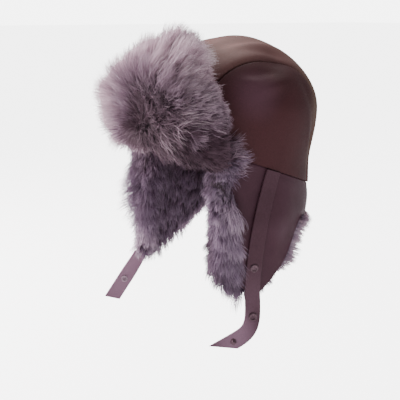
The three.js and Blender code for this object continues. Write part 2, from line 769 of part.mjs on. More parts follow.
function makeStrap(side, runs, snaps, endSlant) {
  const frames = strapFrames(side, runs);
  const slants = frames.map(() => 0);
  slants[0] = rimSlant(frames[0]);
  slants[frames.length - 1] = endSlant;
  const loops = frames.map((frame, i) => strapLoop(frame, slants[i]));
  const flat = () => [
    new THREE.Vector2(-strapWidth / 2, 0),
    new THREE.Vector2(strapWidth / 2, 0),
    new THREE.Vector2(strapWidth / 2, strapThickness),
    new THREE.Vector2(-strapWidth / 2, strapThickness),
  ];
  let strap = loftLoops(loops, flat);
  const made = {};
  const holeRadius = snapPostRadius + layGap;
  const hole = new THREE.CylinderGeometry(holeRadius, holeRadius, 4 * strapThickness, 8);
  hole.rotateX(Math.PI / 2);
  for (const { name, share, size } of snaps) {
    const matrix = snapFrame(frames, share);
    const onFlap = share * (frames.length - 1) <= overlaySteps;
    made[name] = solidOf(makeSnap(size, onFlap).applyMatrix4(matrix));
    strap = strap.subtract(solidOf(hole.clone().applyMatrix4(matrix)));
  }
  return { strap, made };
}

const leather = new THREE.MeshStandardMaterial({ color: 0x4a2f33, roughness: 0.45, metalness: 0 });
const flapLeather = new THREE.MeshStandardMaterial({ color: 0x46303a, roughness: 0.5, metalness: 0 });
const strapLeather = new THREE.MeshStandardMaterial({ color: 0x5b4550, roughness: 0.5, metalness: 0 });
const fur = new THREE.MeshStandardMaterial({ color: 0x7d6c7c, roughness: 0.95, metalness: 0 });
const snapMetal = new THREE.MeshStandardMaterial({ color: 0x6a525c, roughness: 0.35, metalness: 0.8 });

const panels = makeCrownPanels();
const left = makeStrap(1, leftStrapRuns, leftSnaps, -0.66);
const right = makeStrap(-1, rightStrapRuns, rightSnaps, -0.18);

const hat = new THREE.Group();
hat.name = "sheepskin_hat";
hat.add(
  meshOf("crown_centre_strip", panels.strip, leather),
  meshOf("crown_side_left", panels.left, leather),
  meshOf("crown_side_right", panels.right, leather),
  meshOf("ear_and_neck_flap", makeFlapLeather(), flapLeather),
  meshOf("ear_and_neck_fur", makeFlapFur(), fur),
  meshOf("front_flap", makeFrontFlapLeather(), leather),
  meshOf("front_flap_fur", makeFrontFlapFur(), fur),
  meshOf("chin_strap_left", left.strap, strapLeather),
  meshOf("chin_strap_right", right.strap, strapLeather),
);
for (const [name, snap] of Object.entries({ ...left.made, ...right.made })) {
  hat.add(meshOf(name, snap, snapMetal));
}

export default hat;
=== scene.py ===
import math

import bpy
import numpy as np
from mathutils import Matrix, Vector
from mathutils.kdtree import KDTree


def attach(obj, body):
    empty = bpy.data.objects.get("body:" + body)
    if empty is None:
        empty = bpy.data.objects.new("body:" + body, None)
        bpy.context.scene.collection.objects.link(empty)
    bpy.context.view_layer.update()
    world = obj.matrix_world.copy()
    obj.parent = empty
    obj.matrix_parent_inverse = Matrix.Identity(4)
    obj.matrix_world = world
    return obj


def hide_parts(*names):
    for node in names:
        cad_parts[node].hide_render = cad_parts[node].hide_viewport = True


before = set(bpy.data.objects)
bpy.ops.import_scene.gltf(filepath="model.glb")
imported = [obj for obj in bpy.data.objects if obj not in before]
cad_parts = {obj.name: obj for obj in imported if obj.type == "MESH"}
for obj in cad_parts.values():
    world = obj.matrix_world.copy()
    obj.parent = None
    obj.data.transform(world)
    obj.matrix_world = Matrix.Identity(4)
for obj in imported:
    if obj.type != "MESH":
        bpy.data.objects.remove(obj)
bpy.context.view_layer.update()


# Camera: 57 degrees round to the wearer's left, 15 degrees up and 0.85 m away, framed so that the
# middle of the head opening falls where it does in the photo.
camera_azimuth = math.radians(57)
camera_elevation = math.radians(15)
camera_distance = 0.85
picture_pixels = 400
focal_pixels = 696.7
opening_pixel = (232.6, 140)
sensor_width = 36

forward = Vector((
    -math.sin(camera_azimuth) * math.cos(camera_elevation),
    math.cos(camera_azimuth) * math.cos(camera_elevation),
    -math.sin(camera_elevation),
))
right = Vector((math.cos(camera_azimuth), math.sin(camera_azimuth), 0))
upward = right.cross(forward)
aside = (opening_pixel[0] - picture_pixels / 2) * camera_distance / focal_pixels
above = (picture_pixels / 2 - opening_pixel[1]) * camera_distance / focal_pixels
camera_data = bpy.data.cameras.new("camera")
camera_data.sensor_width = sensor_width
camera_data.lens = sensor_width * focal_pixels / picture_pixels
camera = bpy.data.objects.new("camera", camera_data)
bpy.context.scene.collection.objects.link(camera)
place = Matrix.Translation(-(forward * camera_distance + right * aside + upward * above))
camera.matrix_world = place @ Matrix((right, upward, -forward)).transposed().to_4x4()
bpy.context.scene.camera = camera


# Crown centre strip: one wide piece of soft leather from the forehead over the top to the neck. Its
# edges are turned under and sewn to the side panels. Its colours are lighter than the side panels',
# partly its own tone and partly painted light on its upward face. Its top carries painted light from
# above and its back a painted olive reflection, both over dusty specks, and it has long soft folds.
mm = 0.001
half_width = 93.0
half_length = 105.0
crown_top = 125.0
widest = 40.0
rim_middle = -22.5
rim_tilt = 36.5
wall_foot = -30.0
drawn_sides = 5.0
drawn_ends = 9.0
leather_thickness = 2.0
strip_front = 116.0
strip_middle = 130.0
strip_back = 140.0
front_share = 0.09
dome_share = 0.66
edge_radius = 3.2
seam_gap = 0.65
seam_swell = 1.0

# columns: across, along, up, reach across, reach along, reach up (shares), depth (share of width)
crown_dents = [
    (0.77, 0.1, 0.8, 0.22, 0.26, 0.09, 0.026),
    (0.9, 0.12, 0.63, 0.25, 0.3, 0.09, -0.01),
    (0.3, 0.0, 0.97, 0.12, 0.5, 0.2, 0.014),
    (-0.35, 0.15, 0.95, 0.14, 0.4, 0.2, 0.01),
    (0.5, 0.86, -0.18, 0.18, 0.2, 0.2, 0.016),
    (-0.8, -0.05, 0.76, 0.22, 0.3, 0.1, 0.018),
    (0.1, 0.66, 0.78, 0.9, 0.4, 0.32, 0.019),
]

# columns: x, y, z of the middle, direction of the fold x, y, z, length, breadth, depth inwards
crown_folds = [
    (30, -30, 118, 0.1, 1.0, 0.1, 60, 7, 1.6),
    (42, 10, 113, 0.15, 1.0, -0.1, 60, 7, -2.0),
    (54, 14, 105, 0.1, 1.0, -0.15, 46, 6, 2.0),
    (18, 25, 124, 0.05, 1.0, 0.0, 60, 9, 1.3),
    (-12, -10, 125, -0.1, 1.0, 0.0, 70, 9, 1.2),
    (-40, 20, 112, -0.1, 1.0, -0.1, 60, 8, 1.4),
    (58, 30, 92, 0.3, 1.0, -0.5, 40, 6, 1.2),
    (10, 90, 85, 0.2, 0.5, -1.0, 45, 8, 1.6),
    (-20, 85, 88, -0.2, 0.5, -1.0, 50, 8, 1.3),
    (30, 103, 10, 0.3, 0.0, -1.0, 45, 8, 2.2),
    (-28, 104, 0, -0.2, 0.0, -1.0, 50, 9, 1.8),
    (76, -12, 86, 0.1, 1.0, 0.05, 34, 7, 2.2),
    (79, -32, 79, 0.4, 1.0, -0.35, 17, 5.5, -1.2),
    (86, -4, 73, -0.05, 1.0, 0.2, 26, 5.5, -1.8),
    (89, -4, 60, 0.0, 1.0, 0.0, 34, 8, 1.1),
    (80, 50, 60, -0.1, 0.5, -1.0, 42, 8, 1.5),
    (72, 66, 5, -0.25, 0.2, -1.0, 34, 6, 2.4),
    (80, 56, 0, -0.15, 0.2, -1.0, 34, 5, -1.6),
    (91, -5, 20, 0.0, 0.3, -1.0, 36, 10, 1.0),
    (-80, 10, 78, 0.0, 1.0, 0.0, 40, 6, 1.8),
    (-82, 45, 50, 0.0, 0.4, -1.0, 45, 8, 1.6),
    (-88, -20, 30, 0.0, 0.3, -1.0, 40, 9, 1.4),
]


def smooth(start, end, x):
    t = np.clip((x - start) / (end - start), 0, 1)
    return t * t * (3 - 2 * t)


def unit(v):
    return v / np.maximum(np.linalg.norm(v, axis=-1, keepdims=True), 1e-9)


def rim_height(bearing):
    return rim_middle + rim_tilt * np.cos(np.radians(bearing))


def half_axes(z):
    """Half the crown's width and length at a height. Its wall draws in towards the rim."""
    drawn = smooth(widest, wall_foot, z)
    return half_width - drawn_sides * drawn, half_length - drawn_ends * drawn


def wall_point(bearing, z, out):
    """The crown's wall at a bearing from the front, in degrees, and a height in mm."""
    a, b = half_axes(z)
    bearing, z, a, b = np.broadcast_arrays(np.radians(bearing), z, a + out, b + out)
    return np.stack([a * np.sin(bearing), -b * np.cos(bearing), z + 0.0], axis=-1)


def dented(points):
    """Points of the crown pushed inwards by its broad dents, or outwards where one is negative."""
    push = np.zeros(points.shape[:-1])
    for across, along, up, reach_a, reach_l, reach_u, depth in crown_dents:
        a = (points[..., 0] / half_width - across) / reach_a
        b = (points[..., 1] / half_length - along) / reach_l
        c = (points[..., 2] / crown_top - up) / reach_u
        push = push + depth * 2 * half_width * np.exp(-(a * a + b * b + c * c))
    return points - unit(points) * push[..., None]


def folded(points):
    """Points of the crown pushed inwards along its folds, or outwards along its ridges."""
    push = np.zeros(points.shape[:-1])
    for x, y, z, dx, dy, dz, length, breadth, depth in crown_folds:
        off = points - np.array([x, y, z])
        way = unit(np.array([dx, dy, dz], dtype=float))
        along = off @ way
        side = np.linalg.norm(off - along[..., None] * way, axis=-1)
        push = push + depth * np.exp(-(along / length) ** 2 * 2) * np.exp(-(side / breadth) ** 2)
    return points - unit(points) * push[..., None]


def strip_half_width(y):
    t = (y + half_length) / (2 * half_length)
    ahead = strip_front + (strip_middle - strip_front) * smooth(0, 0.5, t)
    behind = strip_middle + (strip_back - strip_middle) * smooth(0.5, 1, t)
    return np.where(t < 0.5, ahead, behind) / 2


def crown_normal(points):
    n = points.copy()
    n[..., 0] /= half_width**2
    n[..., 1] /= half_length**2
    n[..., 2] = np.maximum(points[..., 2] - widest, 0) / (crown_top - widest) ** 2
    return unit(n)


def graded(count, ends=0.62):
    """Shares from 0 to 1 that lie closer together at both ends."""
    t = np.linspace(0, 1, count)
    return (1 - ends) * t + ends * (1 - np.cos(np.pi * t)) / 2


def distance_to(points, line):
    tree = KDTree(len(line))
    for i, p in enumerate(line):
        tree.insert(p, i)
    tree.balance()
    flat = points.reshape(-1, 3)
    found = np.array([tree.find(p)[2] for p in flat])
    return found.reshape(points.shape[:-1])


def edge_roll(distance, radius):
    """How far a rounded edge drops, by the distance from it."""
    inside = radius - np.clip(distance, 0, radius)
    return radius - np.sqrt(np.maximum(radius**2 - inside**2, 0))


def with_allowance(points, normals, steps):
    """The grid with seam allowances past its first and last rows: steps away and inwards."""
    extras = []
    for end, near in [(0, 1), (-1, -2)]:
        away = points[end] - points[near]
        away = unit(away - np.sum(away * normals[end], axis=-1, keepdims=True) * normals[end])
        rows = [points[end] + away * far - normals[end] * deep for far, deep in steps]
        extras.append(np.array(rows))
    return np.concatenate([extras[0][::-1], points, extras[1]])


def lay_grid(name, points):
    """A grid of faces whose points lie where the rows of points say, in mm."""
    rows, columns = points.shape[:2]
    bpy.ops.object.select_all(action="DESELECT")
    bpy.ops.mesh.primitive_grid_add(x_subdivisions=columns - 1, y_subdivisions=rows - 1, size=0.2)
    piece = bpy.context.object
    piece.name = name
    piece.data.name = name
    piece.data.vertices.foreach_set("co", (points.reshape(-1, 3) * mm).ravel())
    piece.data.update()
    return piece


def turn_outwards(piece, inside):
    centres = np.empty(len(piece.data.polygons) * 3)
    facing = np.empty(len(piece.data.polygons) * 3)
    piece.data.polygons.foreach_get("center", centres)
    piece.data.polygons.foreach_get("normal", facing)
    away = centres.reshape(-1, 3) - np.array(inside) * mm
    if np.sum(away * facing.reshape(-1, 3)) < 0:
        bpy.ops.object.mode_set(mode="EDIT")
        bpy.ops.mesh.select_all(action="SELECT")
        bpy.ops.mesh.flip_normals()
        bpy.ops.object.mode_set(mode="OBJECT")


def smooth_by_angle(piece, degrees):
    bpy.ops.object.select_all(action="DESELECT")
    piece.select_set(True)
    bpy.ops.object.shade_smooth_by_angle(angle=math.radians(degrees))


def make_panel(name, points, material, inside=(0, 0, 0)):
    """A leather panel from its outer face, turned away from a point inside the hat, thickened."""
    piece = lay_grid(name, points)
    turn_outwards(piece, inside)
    bpy.context.view_layer.objects.active = piece
    wall = piece.modifiers.new("wall", "SOLIDIFY")
    wall.thickness = leather_thickness * mm
    wall.offset = -1
    bpy.ops.object.modifier_apply(modifier="wall")
    smooth_by_angle(piece, 50)
    piece.data.materials.append(material)
    return piece


def give(tree, made, inputs):
    """Set a node's inputs: a socket is linked, and a value is set on the input itself."""
    for key, value in inputs.items():
        if isinstance(value, bpy.types.NodeSocket):
            tree.links.new(value, made.inputs[key])
        else:
            made.inputs[key].default_value = value


def node(tree, kind, inputs=None, **settings):
    made = tree.nodes.new(kind)
    for key, value in settings.items():
        setattr(made, key, value)
    give(tree, made, inputs or {})
    return made


def maths(tree, operation, first, second):
    return node(tree, "ShaderNodeMath", {0: first, 1: second}, operation=operation).outputs[0]


def vector_maths(tree, operation, first, second):
    made = node(tree, "ShaderNodeVectorMath", {0: first, 1: second}, operation=operation)
    return made.outputs["Value" if operation == "DISTANCE" else "Vector"]


def noise(tree, place, scale, detail, rough=0.5, **settings):
    inputs = {"Vector": place, "Scale": scale, "Detail": detail, "Roughness": rough}
    return node(tree, "ShaderNodeTexNoise", inputs, **settings).outputs


def map_range(tree, value, start, end, low=0.0, high=1.0, kind="LINEAR"):
    inputs = {"Value": value, "From Min": start, "From Max": end, "To Min": low, "To Max": high}
    return node(tree, "ShaderNodeMapRange", inputs, interpolation_type=kind).outputs[0]


def mix(tree, share, first, second):
    inputs = {0: share, 6: first, 7: second}
    return node(tree, "ShaderNodeMix", inputs, data_type="RGBA", clamp_factor=True).outputs[2]


def bumped(tree, height, strength, distance):
    inputs = {"Height": height, "Strength": strength, "Distance": distance}
    return node(tree, "ShaderNodeBump", inputs).outputs[0]


def make_grain_group():
    tree = bpy.data.node_groups.new("leather_grain", "ShaderNodeTree")
    for name, kind, value in [
        ("Vector", "NodeSocketVector", (0, 0, 0)),
        ("Pebble Scale", "NodeSocketFloat", 900.0),
        ("Crease Scale", "NodeSocketFloat", 140.0),
        ("Crease Depth", "NodeSocketFloat", 0.5),
    ]:
        tree.interface.new_socket(name, in_out="INPUT", socket_type=kind).default_value = value
    for name in ["Height", "Cloud", "Speck"]:
        tree.interface.new_socket(name, in_out="OUTPUT", socket_type="NodeSocketFloat")
    given = tree.nodes.new("NodeGroupInput").outputs
    place = given["Vector"]
    shift = vector_maths(tree, "MULTIPLY", noise(tree, place, 60.0, 2.0)["Color"], (4 * mm,) * 3)
    moved = vector_maths(tree, "ADD", place, shift)
    inputs = {"Vector": moved, "Scale": given["Pebble Scale"]}
    pebbles = node(tree, "ShaderNodeTexVoronoi", inputs, feature="F1").outputs["Distance"]
    ridged = {"noise_type": "RIDGED_MULTIFRACTAL"}
    creases = noise(tree, moved, given["Crease Scale"], 5.0, 0.6, **ridged)["Fac"]
    scaled = maths(tree, "MULTIPLY", creases, given["Crease Depth"])
    made = {
        "Height": maths(tree, "SUBTRACT", pebbles, scaled),
        "Cloud": noise(tree, place, 18.0, 3.0, 0.55)["Fac"],
        "Speck": noise(tree, place, 420.0, 3.0, 0.6)["Fac"],
    }
    node(tree, "NodeGroupOutput", made)
    return tree


grain_group = make_grain_group()


def ramp(tree, value, stops, smooth_steps=True):
    made = node(tree, "ShaderNodeValToRGB", {"Fac": value})
    steps = made.color_ramp
    steps.interpolation = "EASE" if smooth_steps else "LINEAR"
    while len(steps.elements) < len(stops):
        steps.elements.new(0.5)
    for element, (at, colour) in zip(steps.elements, stops):
        element.position = at
        element.color = (*colour, 1)
    return made.outputs["Color"]


def new_material(name):
    made = bpy.data.materials.new(name)
    made.use_nodes = True
    return made, made.node_tree, made.node_tree.nodes["Principled BSDF"]


def leather(name, deep, plain, dust_and_sheen, gloss, bump, sheen_zones=(), second_dust_and_sheen=None, second_sheen_zones=()):
    """Zones: (x, y, z, reach in mm, share of the colour), each a patch of painted light or painted
    reflection. Colours are linear.
    """
    made, tree, shader = new_material(name)
    place = node(tree, "ShaderNodeTexCoord").outputs["Object"]
    grain = node(tree, "ShaderNodeGroup", {"Vector": place}, node_tree=grain_group).outputs
    shade = ramp(tree, grain["Cloud"], [(0.3, deep), (0.62, plain)])
    dust = maths(tree, "MULTIPLY", grain["Speck"], 0.10)
    # Each colour goes on as dusty specks all over, and as painted light or painted reflection in its
    # zones.
    for colour, spots in [(dust_and_sheen, sheen_zones), (second_dust_and_sheen, second_sheen_zones)]:
        if not colour:
            continue
        cover = dust
        for x, y, z, reach, share in spots:
            far = vector_maths(tree, "DISTANCE", place, (x * mm, y * mm, z * mm))
            near = map_range(tree, far, 0.0, reach * mm, share, 0.0, "SMOOTHERSTEP")
            cover = maths(tree, "ADD", cover, near)
        shade = mix(tree, cover, shade, (*colour, 1))
    give(tree, shader, {
        "Base Color": shade,
        "Roughness": map_range(tree, grain["Speck"], 0.3, 0.7, gloss, gloss + 0.12),
        "Normal": bumped(tree, grain["Height"], bump, 0.0004),
        "Specular IOR Level": 0.2,
    })
    return made


def strip_surface(across, along):
    """The strip's outer face: across from -1 to 1 and along from the brow, 0, to the neck, 1."""
    y = np.zeros(np.broadcast(across, along).shape)
    on_front = along < front_share
    on_back = along > front_share + dome_share
    arc = np.pi * np.clip((along - front_share) / dome_share, 0, 1)
    z = widest + (crown_top - widest) * np.sin(arc)
    for _ in range(14):
        x = across * (strip_half_width(y) - seam_gap)
        a, b = half_axes(z)
        k = np.sqrt(np.maximum(1 - (x / a) ** 2, 0))
        rim_front = rim_middle + rim_tilt * k
        rim_back = rim_middle - rim_tilt * k
        up_front = along / front_share
        up_back = (1 - along) / (1 - front_share - dome_share)
        z = np.where(on_front, rim_front + (widest - rim_front) * up_front, z)
        z = np.where(on_back, rim_back + (widest - rim_back) * up_back, z)
        z = np.where(on_front | on_back, z, widest + (crown_top - widest) * k * np.sin(arc))
        y = np.where(on_front, -b * k, np.where(on_back, b * k, -b * k * np.cos(arc)))
    return np.stack([x, y, z], axis=-1)


def seam_line(side):
    along = np.linspace(0, 1, 500)
    return strip_surface(np.full_like(along, side), along)


rows, columns = 141, 51
across = np.broadcast_to(graded(columns)[None, :] * 2 - 1, (rows, columns))
along = np.broadcast_to(np.linspace(0, 1, rows)[:, None], (rows, columns))
points = strip_surface(across, along)
normals = crown_normal(points)
distance = np.minimum(distance_to(points, seam_line(1)), distance_to(points, seam_line(-1)))
swell = seam_swell * smooth(0, 7, distance) * smooth(22, 7, distance)
points = folded(dented(points)) - normals * edge_roll(distance, edge_radius)[..., None]
points = points + normals * swell[..., None]
allowance = [(0.05, 1.8), (0.7, 2.4), (4.5, 2.0)]
points = with_allowance(points.transpose(1, 0, 2), normals.transpose(1, 0, 2), allowance)
# Pale zones on the top are painted light from above, and the olive second colour towards the back is
# a painted reflection; both also go on as dusty specks.
strip_leather = leather(
    "strip_leather",
    (0.095, 0.034, 0.038),
    (0.150, 0.062, 0.066),
    (0.34, 0.185, 0.165),
    0.5,
    0.35,
    [
        (34, -40, 122, 62, 0.62), (26, 26, 120, 60, 0.42),
        (-30, 0, 118, 80, 0.4), (20, 104, 40, 60, 0.2),
    ],
    (0.210, 0.148, 0.108),
    [
        (60, 80, 70, 66, 0.6), (66, 84, 10, 60, 0.45),
        (24, 60, 118, 60, 0.3), (-60, 80, 40, 80, 0.4),
    ],
)
strip = make_panel("centre_strip", points.transpose(1, 0, 2), strip_leather)
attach(strip, "root")
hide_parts("crown_centre_strip")


# Crown side panels: one soft leather panel on each side of the strip, sewn to it under turned edges.
# They are darker than the strip, partly by their own tone and partly as painted shade where they face
# sideways, and sag into soft dents under the seam.
dome_radius = 92.0


def side_surface(side, across, along):
    """The panel's outer face: across from the front seam, 0, to the back one, 1, and along from the
    rim, 0, to the top seam, 1. Each loop settles a place that depends on its own height or width."""
    rows, columns = along.shape[0], across.shape[1]
    across = np.broadcast_to(across, (rows, columns))
    along = np.broadcast_to(along, (rows, columns))

    def bearing_at(z):
        a, b = half_axes(z)
        start, end = np.full(a.shape, 34.0), np.full(a.shape, 134.0)
        for _ in range(12):
            y_start = -b * np.cos(np.radians(start))
            y_end = -b * np.cos(np.radians(end))
            start = np.degrees(np.arcsin((strip_half_width(y_start) + seam_gap) / a))
            end = 180 - np.degrees(np.arcsin((strip_half_width(y_end) + seam_gap) / a))
        return start + (end - start) * across

    fixed = bearing_at(np.full(across.shape, widest))
    cosine = np.full(across.shape, 0.6)
    turned = np.radians(fixed)
    for _ in range(40):
        y = -half_length * cosine * np.cos(turned)
        cosine = np.minimum((strip_half_width(y) + seam_gap) / (half_width * np.sin(turned)), 1)
    top_arc = np.arccos(cosine)
    wall = widest - rim_height(fixed)
    share = wall / (wall + top_arc * dome_radius)
    on_wall = along < share
    z = np.full(across.shape, 10.0)
    for _ in range(10):
        bearing = bearing_at(z)
        rim = rim_height(bearing)
        z = rim + (widest - rim) * np.clip(along / share, 0, 1)
    low = wall_point(bearing, z, 0)
    arc = top_arc * np.clip((along - share) / np.maximum(1 - share, 1e-6), 0, 1)
    high = np.stack(
        [
            half_width * np.cos(arc) * np.sin(turned),
            -half_length * np.cos(arc) * np.cos(turned),
            widest + (crown_top - widest) * np.sin(arc),
        ],
        axis=-1,
    )
    points = np.where(on_wall[..., None], low, high)
    return points * np.array([side, 1, 1])


# An olive painted reflection towards the back and a mauve painted sheen high on each side towards the
# front, both also as dusty specks all over.
side_leather = leather(
    "side_leather",
    (0.054, 0.0128, 0.0182),
    (0.076, 0.0192, 0.0255),
    (0.170, 0.112, 0.072),
    0.52,
    0.3,
    [(60, 84, 40, 50, 0.85), (58, 80, -15, 46, 0.8)],
    (0.150, 0.066, 0.094),
    [(84, -30, 66, 44, 0.75), (-86, -20, 66, 44, 0.5)],
)
for side, name in [(1, "left"), (-1, "right")]:
    points = side_surface(side, graded(101)[None, :], graded(65)[:, None])
    normals = crown_normal(points)
    drop = edge_roll(distance_to(points, seam_line(side)), edge_radius * 0.8)
    points = folded(dented(points)) - normals * drop[..., None]
    panel = make_panel(f"side_panel_{name}", points, side_leather)
    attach(panel, "root")
    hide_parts(f"crown_side_{name}")


# Leather of the ear and neck flaps: one piece sewn along the rim, puffed a little by the wool behind
# it. The right flap swings forwards and flares.
ear_drop = 154.0
neck_drop = 38.0
flap_front = 55.0
flap_edge_radius = 1.1
flap_inset = 1.2
right_swing = 12
right_swing_behind = 9
right_flare = 15
mm_per_degree = 1.7

# columns: bearing, share of the full drop
lower_edge = [
    (50, 0.88), (56, 0.92), (62, 0.96), (68, 0.99), (72, 1.0), (78, 0.98), (86, 0.84),
    (96, 0.64), (102, 0.52), (108, 0.33), (114, 0.16), (122, 0.06), (150, 0.0), (180, 0.0),
]

# columns: bearing, drop, reach in bearing, reach in drop, height outwards
flap_puffs = [
    (98, 44, 12, 34, 4.0),
    (90, 74, 6, 30, 2.0),
    (62, 60, 6, 60, 1.4),
    (64, 112, 5, 30, 1.6),
    (118, 34, 12, 14, 2.0),
    (-98, 44, 12, 34, 3.0),
    (-64, 60, 6, 60, 1.6),
    (150, 18, 16, 14, 1.8),
    (-150, 18, 16, 14, 1.6),
    (180, 20, 10, 14, -1.2),
]


def edge_drop(bearing):
    """How far the flaps' lower edge lies below the rim."""
    bearing = np.abs(bearing)
    table = np.array(lower_edge)
    spread = [np.interp(bearing + k, table[:, 0], table[:, 1]) for k in (-4, -2, 0, 2, 4)]
    return neck_drop + (ear_drop - neck_drop) * np.mean(spread, axis=0)


def flap_point(bearing, drop, out):
    """A place on the flaps' outer face, a drop below the rim. The right ear flap swings forwards,
    in degrees, most behind its front edge and least at its tip, and flares out."""
    free = np.where(bearing < 0, smooth(175, 105, -bearing), 0)
    low = smooth(0.4 * ear_drop, 0.94 * ear_drop, drop)
    behind = smooth(40, 75, -bearing)
    angle = right_swing - 6 * low + (right_swing_behind + 3 * low) * behind
    swing = np.radians(angle * free)
    z = rim_height(bearing) - drop * np.cos(swing)
    point = wall_point(bearing, z, out - flap_inset)
    point[..., 1] -= np.sin(swing) * drop
    point[..., 0] -= right_flare * free * drop / ear_drop
    return point


def puffed(bearing, drop):
    """How far the wool behind it puffs the flaps' leather out."""
    out = np.zeros(np.broadcast(bearing, drop).shape)
    for at, down, reach, tall, height in flap_puffs:
        turn = (bearing - at + 180) % 360 - 180
        out = out + height * np.exp(-((turn / reach) ** 2) - ((drop - down) / tall) ** 2)
    return out


def round_bearing(turn):
    return np.where(turn > 180, turn - 360, turn)


columns, rows = 201, 53
turn = flap_front + (360 - 2 * flap_front) * graded(columns, 0.3)[None, :]
bearing = round_bearing(turn)
low = edge_drop(bearing)
drop = 0.35 + (low - 0.35) * graded(rows)[:, None]
bearing = np.broadcast_to(bearing, drop.shape)
edge = np.minimum(drop - 0.3, (low - drop) * 0.8)
to_ends = np.minimum(turn - flap_front, 360 - flap_front - turn)
edge = np.minimum(edge, np.broadcast_to(to_ends, drop.shape) * mm_per_degree)
off_edge = smooth(0, 10, edge)
out = puffed(bearing, drop) * off_edge - edge_roll(edge, flap_edge_radius)
points = flap_point(bearing, drop, out)
under_crown = [flap_point(bearing[0], height, -1.6) for height in (-4.5, -1.5, 0.25)]
points = np.concatenate([under_crown, points])
# Pale mauve zones low on the ear flaps and low at the back of the neck flap are painted light
# reflected from below, over dusty specks.
flap_leather = leather(
    "flap_leather",
    (0.067, 0.0240, 0.0385),
    (0.090, 0.0355, 0.0545),
    (0.17, 0.095, 0.130),
    0.46,
    0.3,
    [(90, 5, -92, 22, 0.2), (78, -40, -160, 60, 0.12), (0, 100, -70, 50, 0.2)],
)
flap = make_panel("ear_and_neck_leather", points, flap_leather, (0, 0, -60))
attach(flap, "root")
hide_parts("ear_and_neck_flap")


# Front flap: a leather backing that turns up from the rim and leans back on the crown. Its wool
# side faces forwards.
front_bearing = 52.0
front_height = 98.0
wool_depth = 38.0
wool_over = 14.0
wool_under = 12.0
wool_bearing = 54.0
brow_depth = 10.0
fold_gap = 0.4
flap_gap = 0.45
flap_belly = 9 * 1.56
lean_above = 62
lean_reach = 50
lean_depth = 40


def front_top(bearing):
    """How high the flap's top edge stands over the fold. It is lower at both ends."""
    share = bearing / front_bearing
    end = np.abs(share - 0.2 * (1 - share**2))
    return front_height * (1 - 0.5 * end**2.4)


def front_point(bearing, rise, out):
    """A place on the turned-up flap, at a share of its rise from the fold. It bellies out, and its
    top leans back on the crown."""
    z = rim_height(bearing) + fold_gap + rise * front_top(bearing)
    back = np.maximum(0, z - lean_above) / lean_reach
    stand = flap_gap + flap_belly * rise * (1.6 - rise) - lean_depth * back**2
    return wall_point(bearing, z, stand + out)


bearing = np.broadcast_to(front_bearing * (2 * graded(61) - 1)[None, :], (31, 61))
rise = np.broadcast_to(graded(31)[:, None], (31, 61))
edge = np.minimum((1 - rise) * 90, (front_bearing - np.abs(bearing)) * mm_per_degree)
out = leather_thickness - edge_roll(edge, 1.0) * 0.6
face = front_point(bearing, rise, out)
backing = make_panel("front_flap_leather", face, side_leather, (0, 0, 20))
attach(backing, "root")
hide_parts("front_flap")


# Chin straps: two layers of leather, sewn together along a line inside each edge and sewn down the
# outside of each ear flap. They run on below it as free ends, which curl and are cut at a slant.
strap_width = 19.0
strap_thickness = 2.6
strap_top = 86.0
strap_bottom = 72.0
strap_bend = 1.8
strap_gap = 0.45
overlay_steps = 12
strap_fine = 12

# columns: run (share of the width), lean, curl, twist in degrees
left_runs = [
    (0.6, -3, 0, 0), (0.6, 2, 2, 0), (0.55, 6, 4, 4), (0.5, 14, 4, 6),
    (0.45, 20, 2, 6), (0.45, 16, 0, 4), (0.55, 8, 0, 2), (0.65, 2, 0, 0),
]
right_runs = [
    (0.12, 6, 0, -12), (0.12, 6, 0, -12), (0.45, 5, -1, -2), (0.66, 3, -1, -12),
    (0.67, 1, 0, -9), (0.66, 0, 0, 0), (1.2, 0, 1, 0),
]


def flap_spot(bearing, drop, out):
    return flap_point(np.array(float(bearing)), np.array(float(drop)), np.array(float(out)))


def turned(v, axis, degrees):
    return np.array(Matrix.Rotation(math.radians(degrees), 3, Vector(axis)) @ Vector(v))


def strap_frames(side, runs):
    """The strap's places from its top to its end, each with its ways down, across and outwards."""
    frames = []
    bottom = ear_drop - 2
    out = strap_gap + strap_thickness / 2

    def spot(share):
        left = max(1 - share, 0) ** strap_bend
        return strap_bottom + (strap_top - strap_bottom) * left, 1.3 + (bottom - 1.3) * share

    for i in range(overlay_steps + 1):
        bearing, drop = spot(i / overlay_steps)
        middle = flap_spot(side * bearing, drop, out)
        along = flap_spot(side * bearing, drop + 1, out) - flap_spot(side * bearing, drop - 0.5, out)
        ahead = spot(i / overlay_steps + 0.01)
        down = unit(flap_spot(side * ahead[0], ahead[1], out) - middle)
        back = flap_spot(side * (bearing + 2), drop, out) - flap_spot(side * (bearing - 2), drop, out)
        normal = unit(-side * np.cross(back, along))
        across = unit(side * np.cross(normal, down))
        frames.append((middle, down, across, normal))
    middle, *ways = frames[-1]
    for run, lean, curl, twist in runs:
        for axis, degrees in [(2, -lean), (1, -curl), (0, twist)]:
            ways = [turned(v, ways[axis], degrees * side) for v in ways]
        middle = middle + ways[0] * run * strap_width
        frames.append((middle, *ways))
    return [np.array(rows) for rows in zip(*frames)]


def rounded(rows, fine):
    """Rows of points joined by one smooth curve, fine points to a row."""
    padded = np.vstack([2 * rows[0] - rows[1], rows, 2 * rows[-1] - rows[-2]])
    pieces = []
    for i in range(1, len(padded) - 2):
        a, b, c, d = padded[i - 1], padded[i], padded[i + 1], padded[i + 2]
        t = np.linspace(0, 1, fine, endpoint=False)[:, None]
        pieces.append(
            b + 0.5 * t * (c - a + t * (2 * a - 5 * b + 4 * c - d + t * (3 * (b - c) + d - a)))
        )
    return np.vstack(pieces + [rows[-1:]])


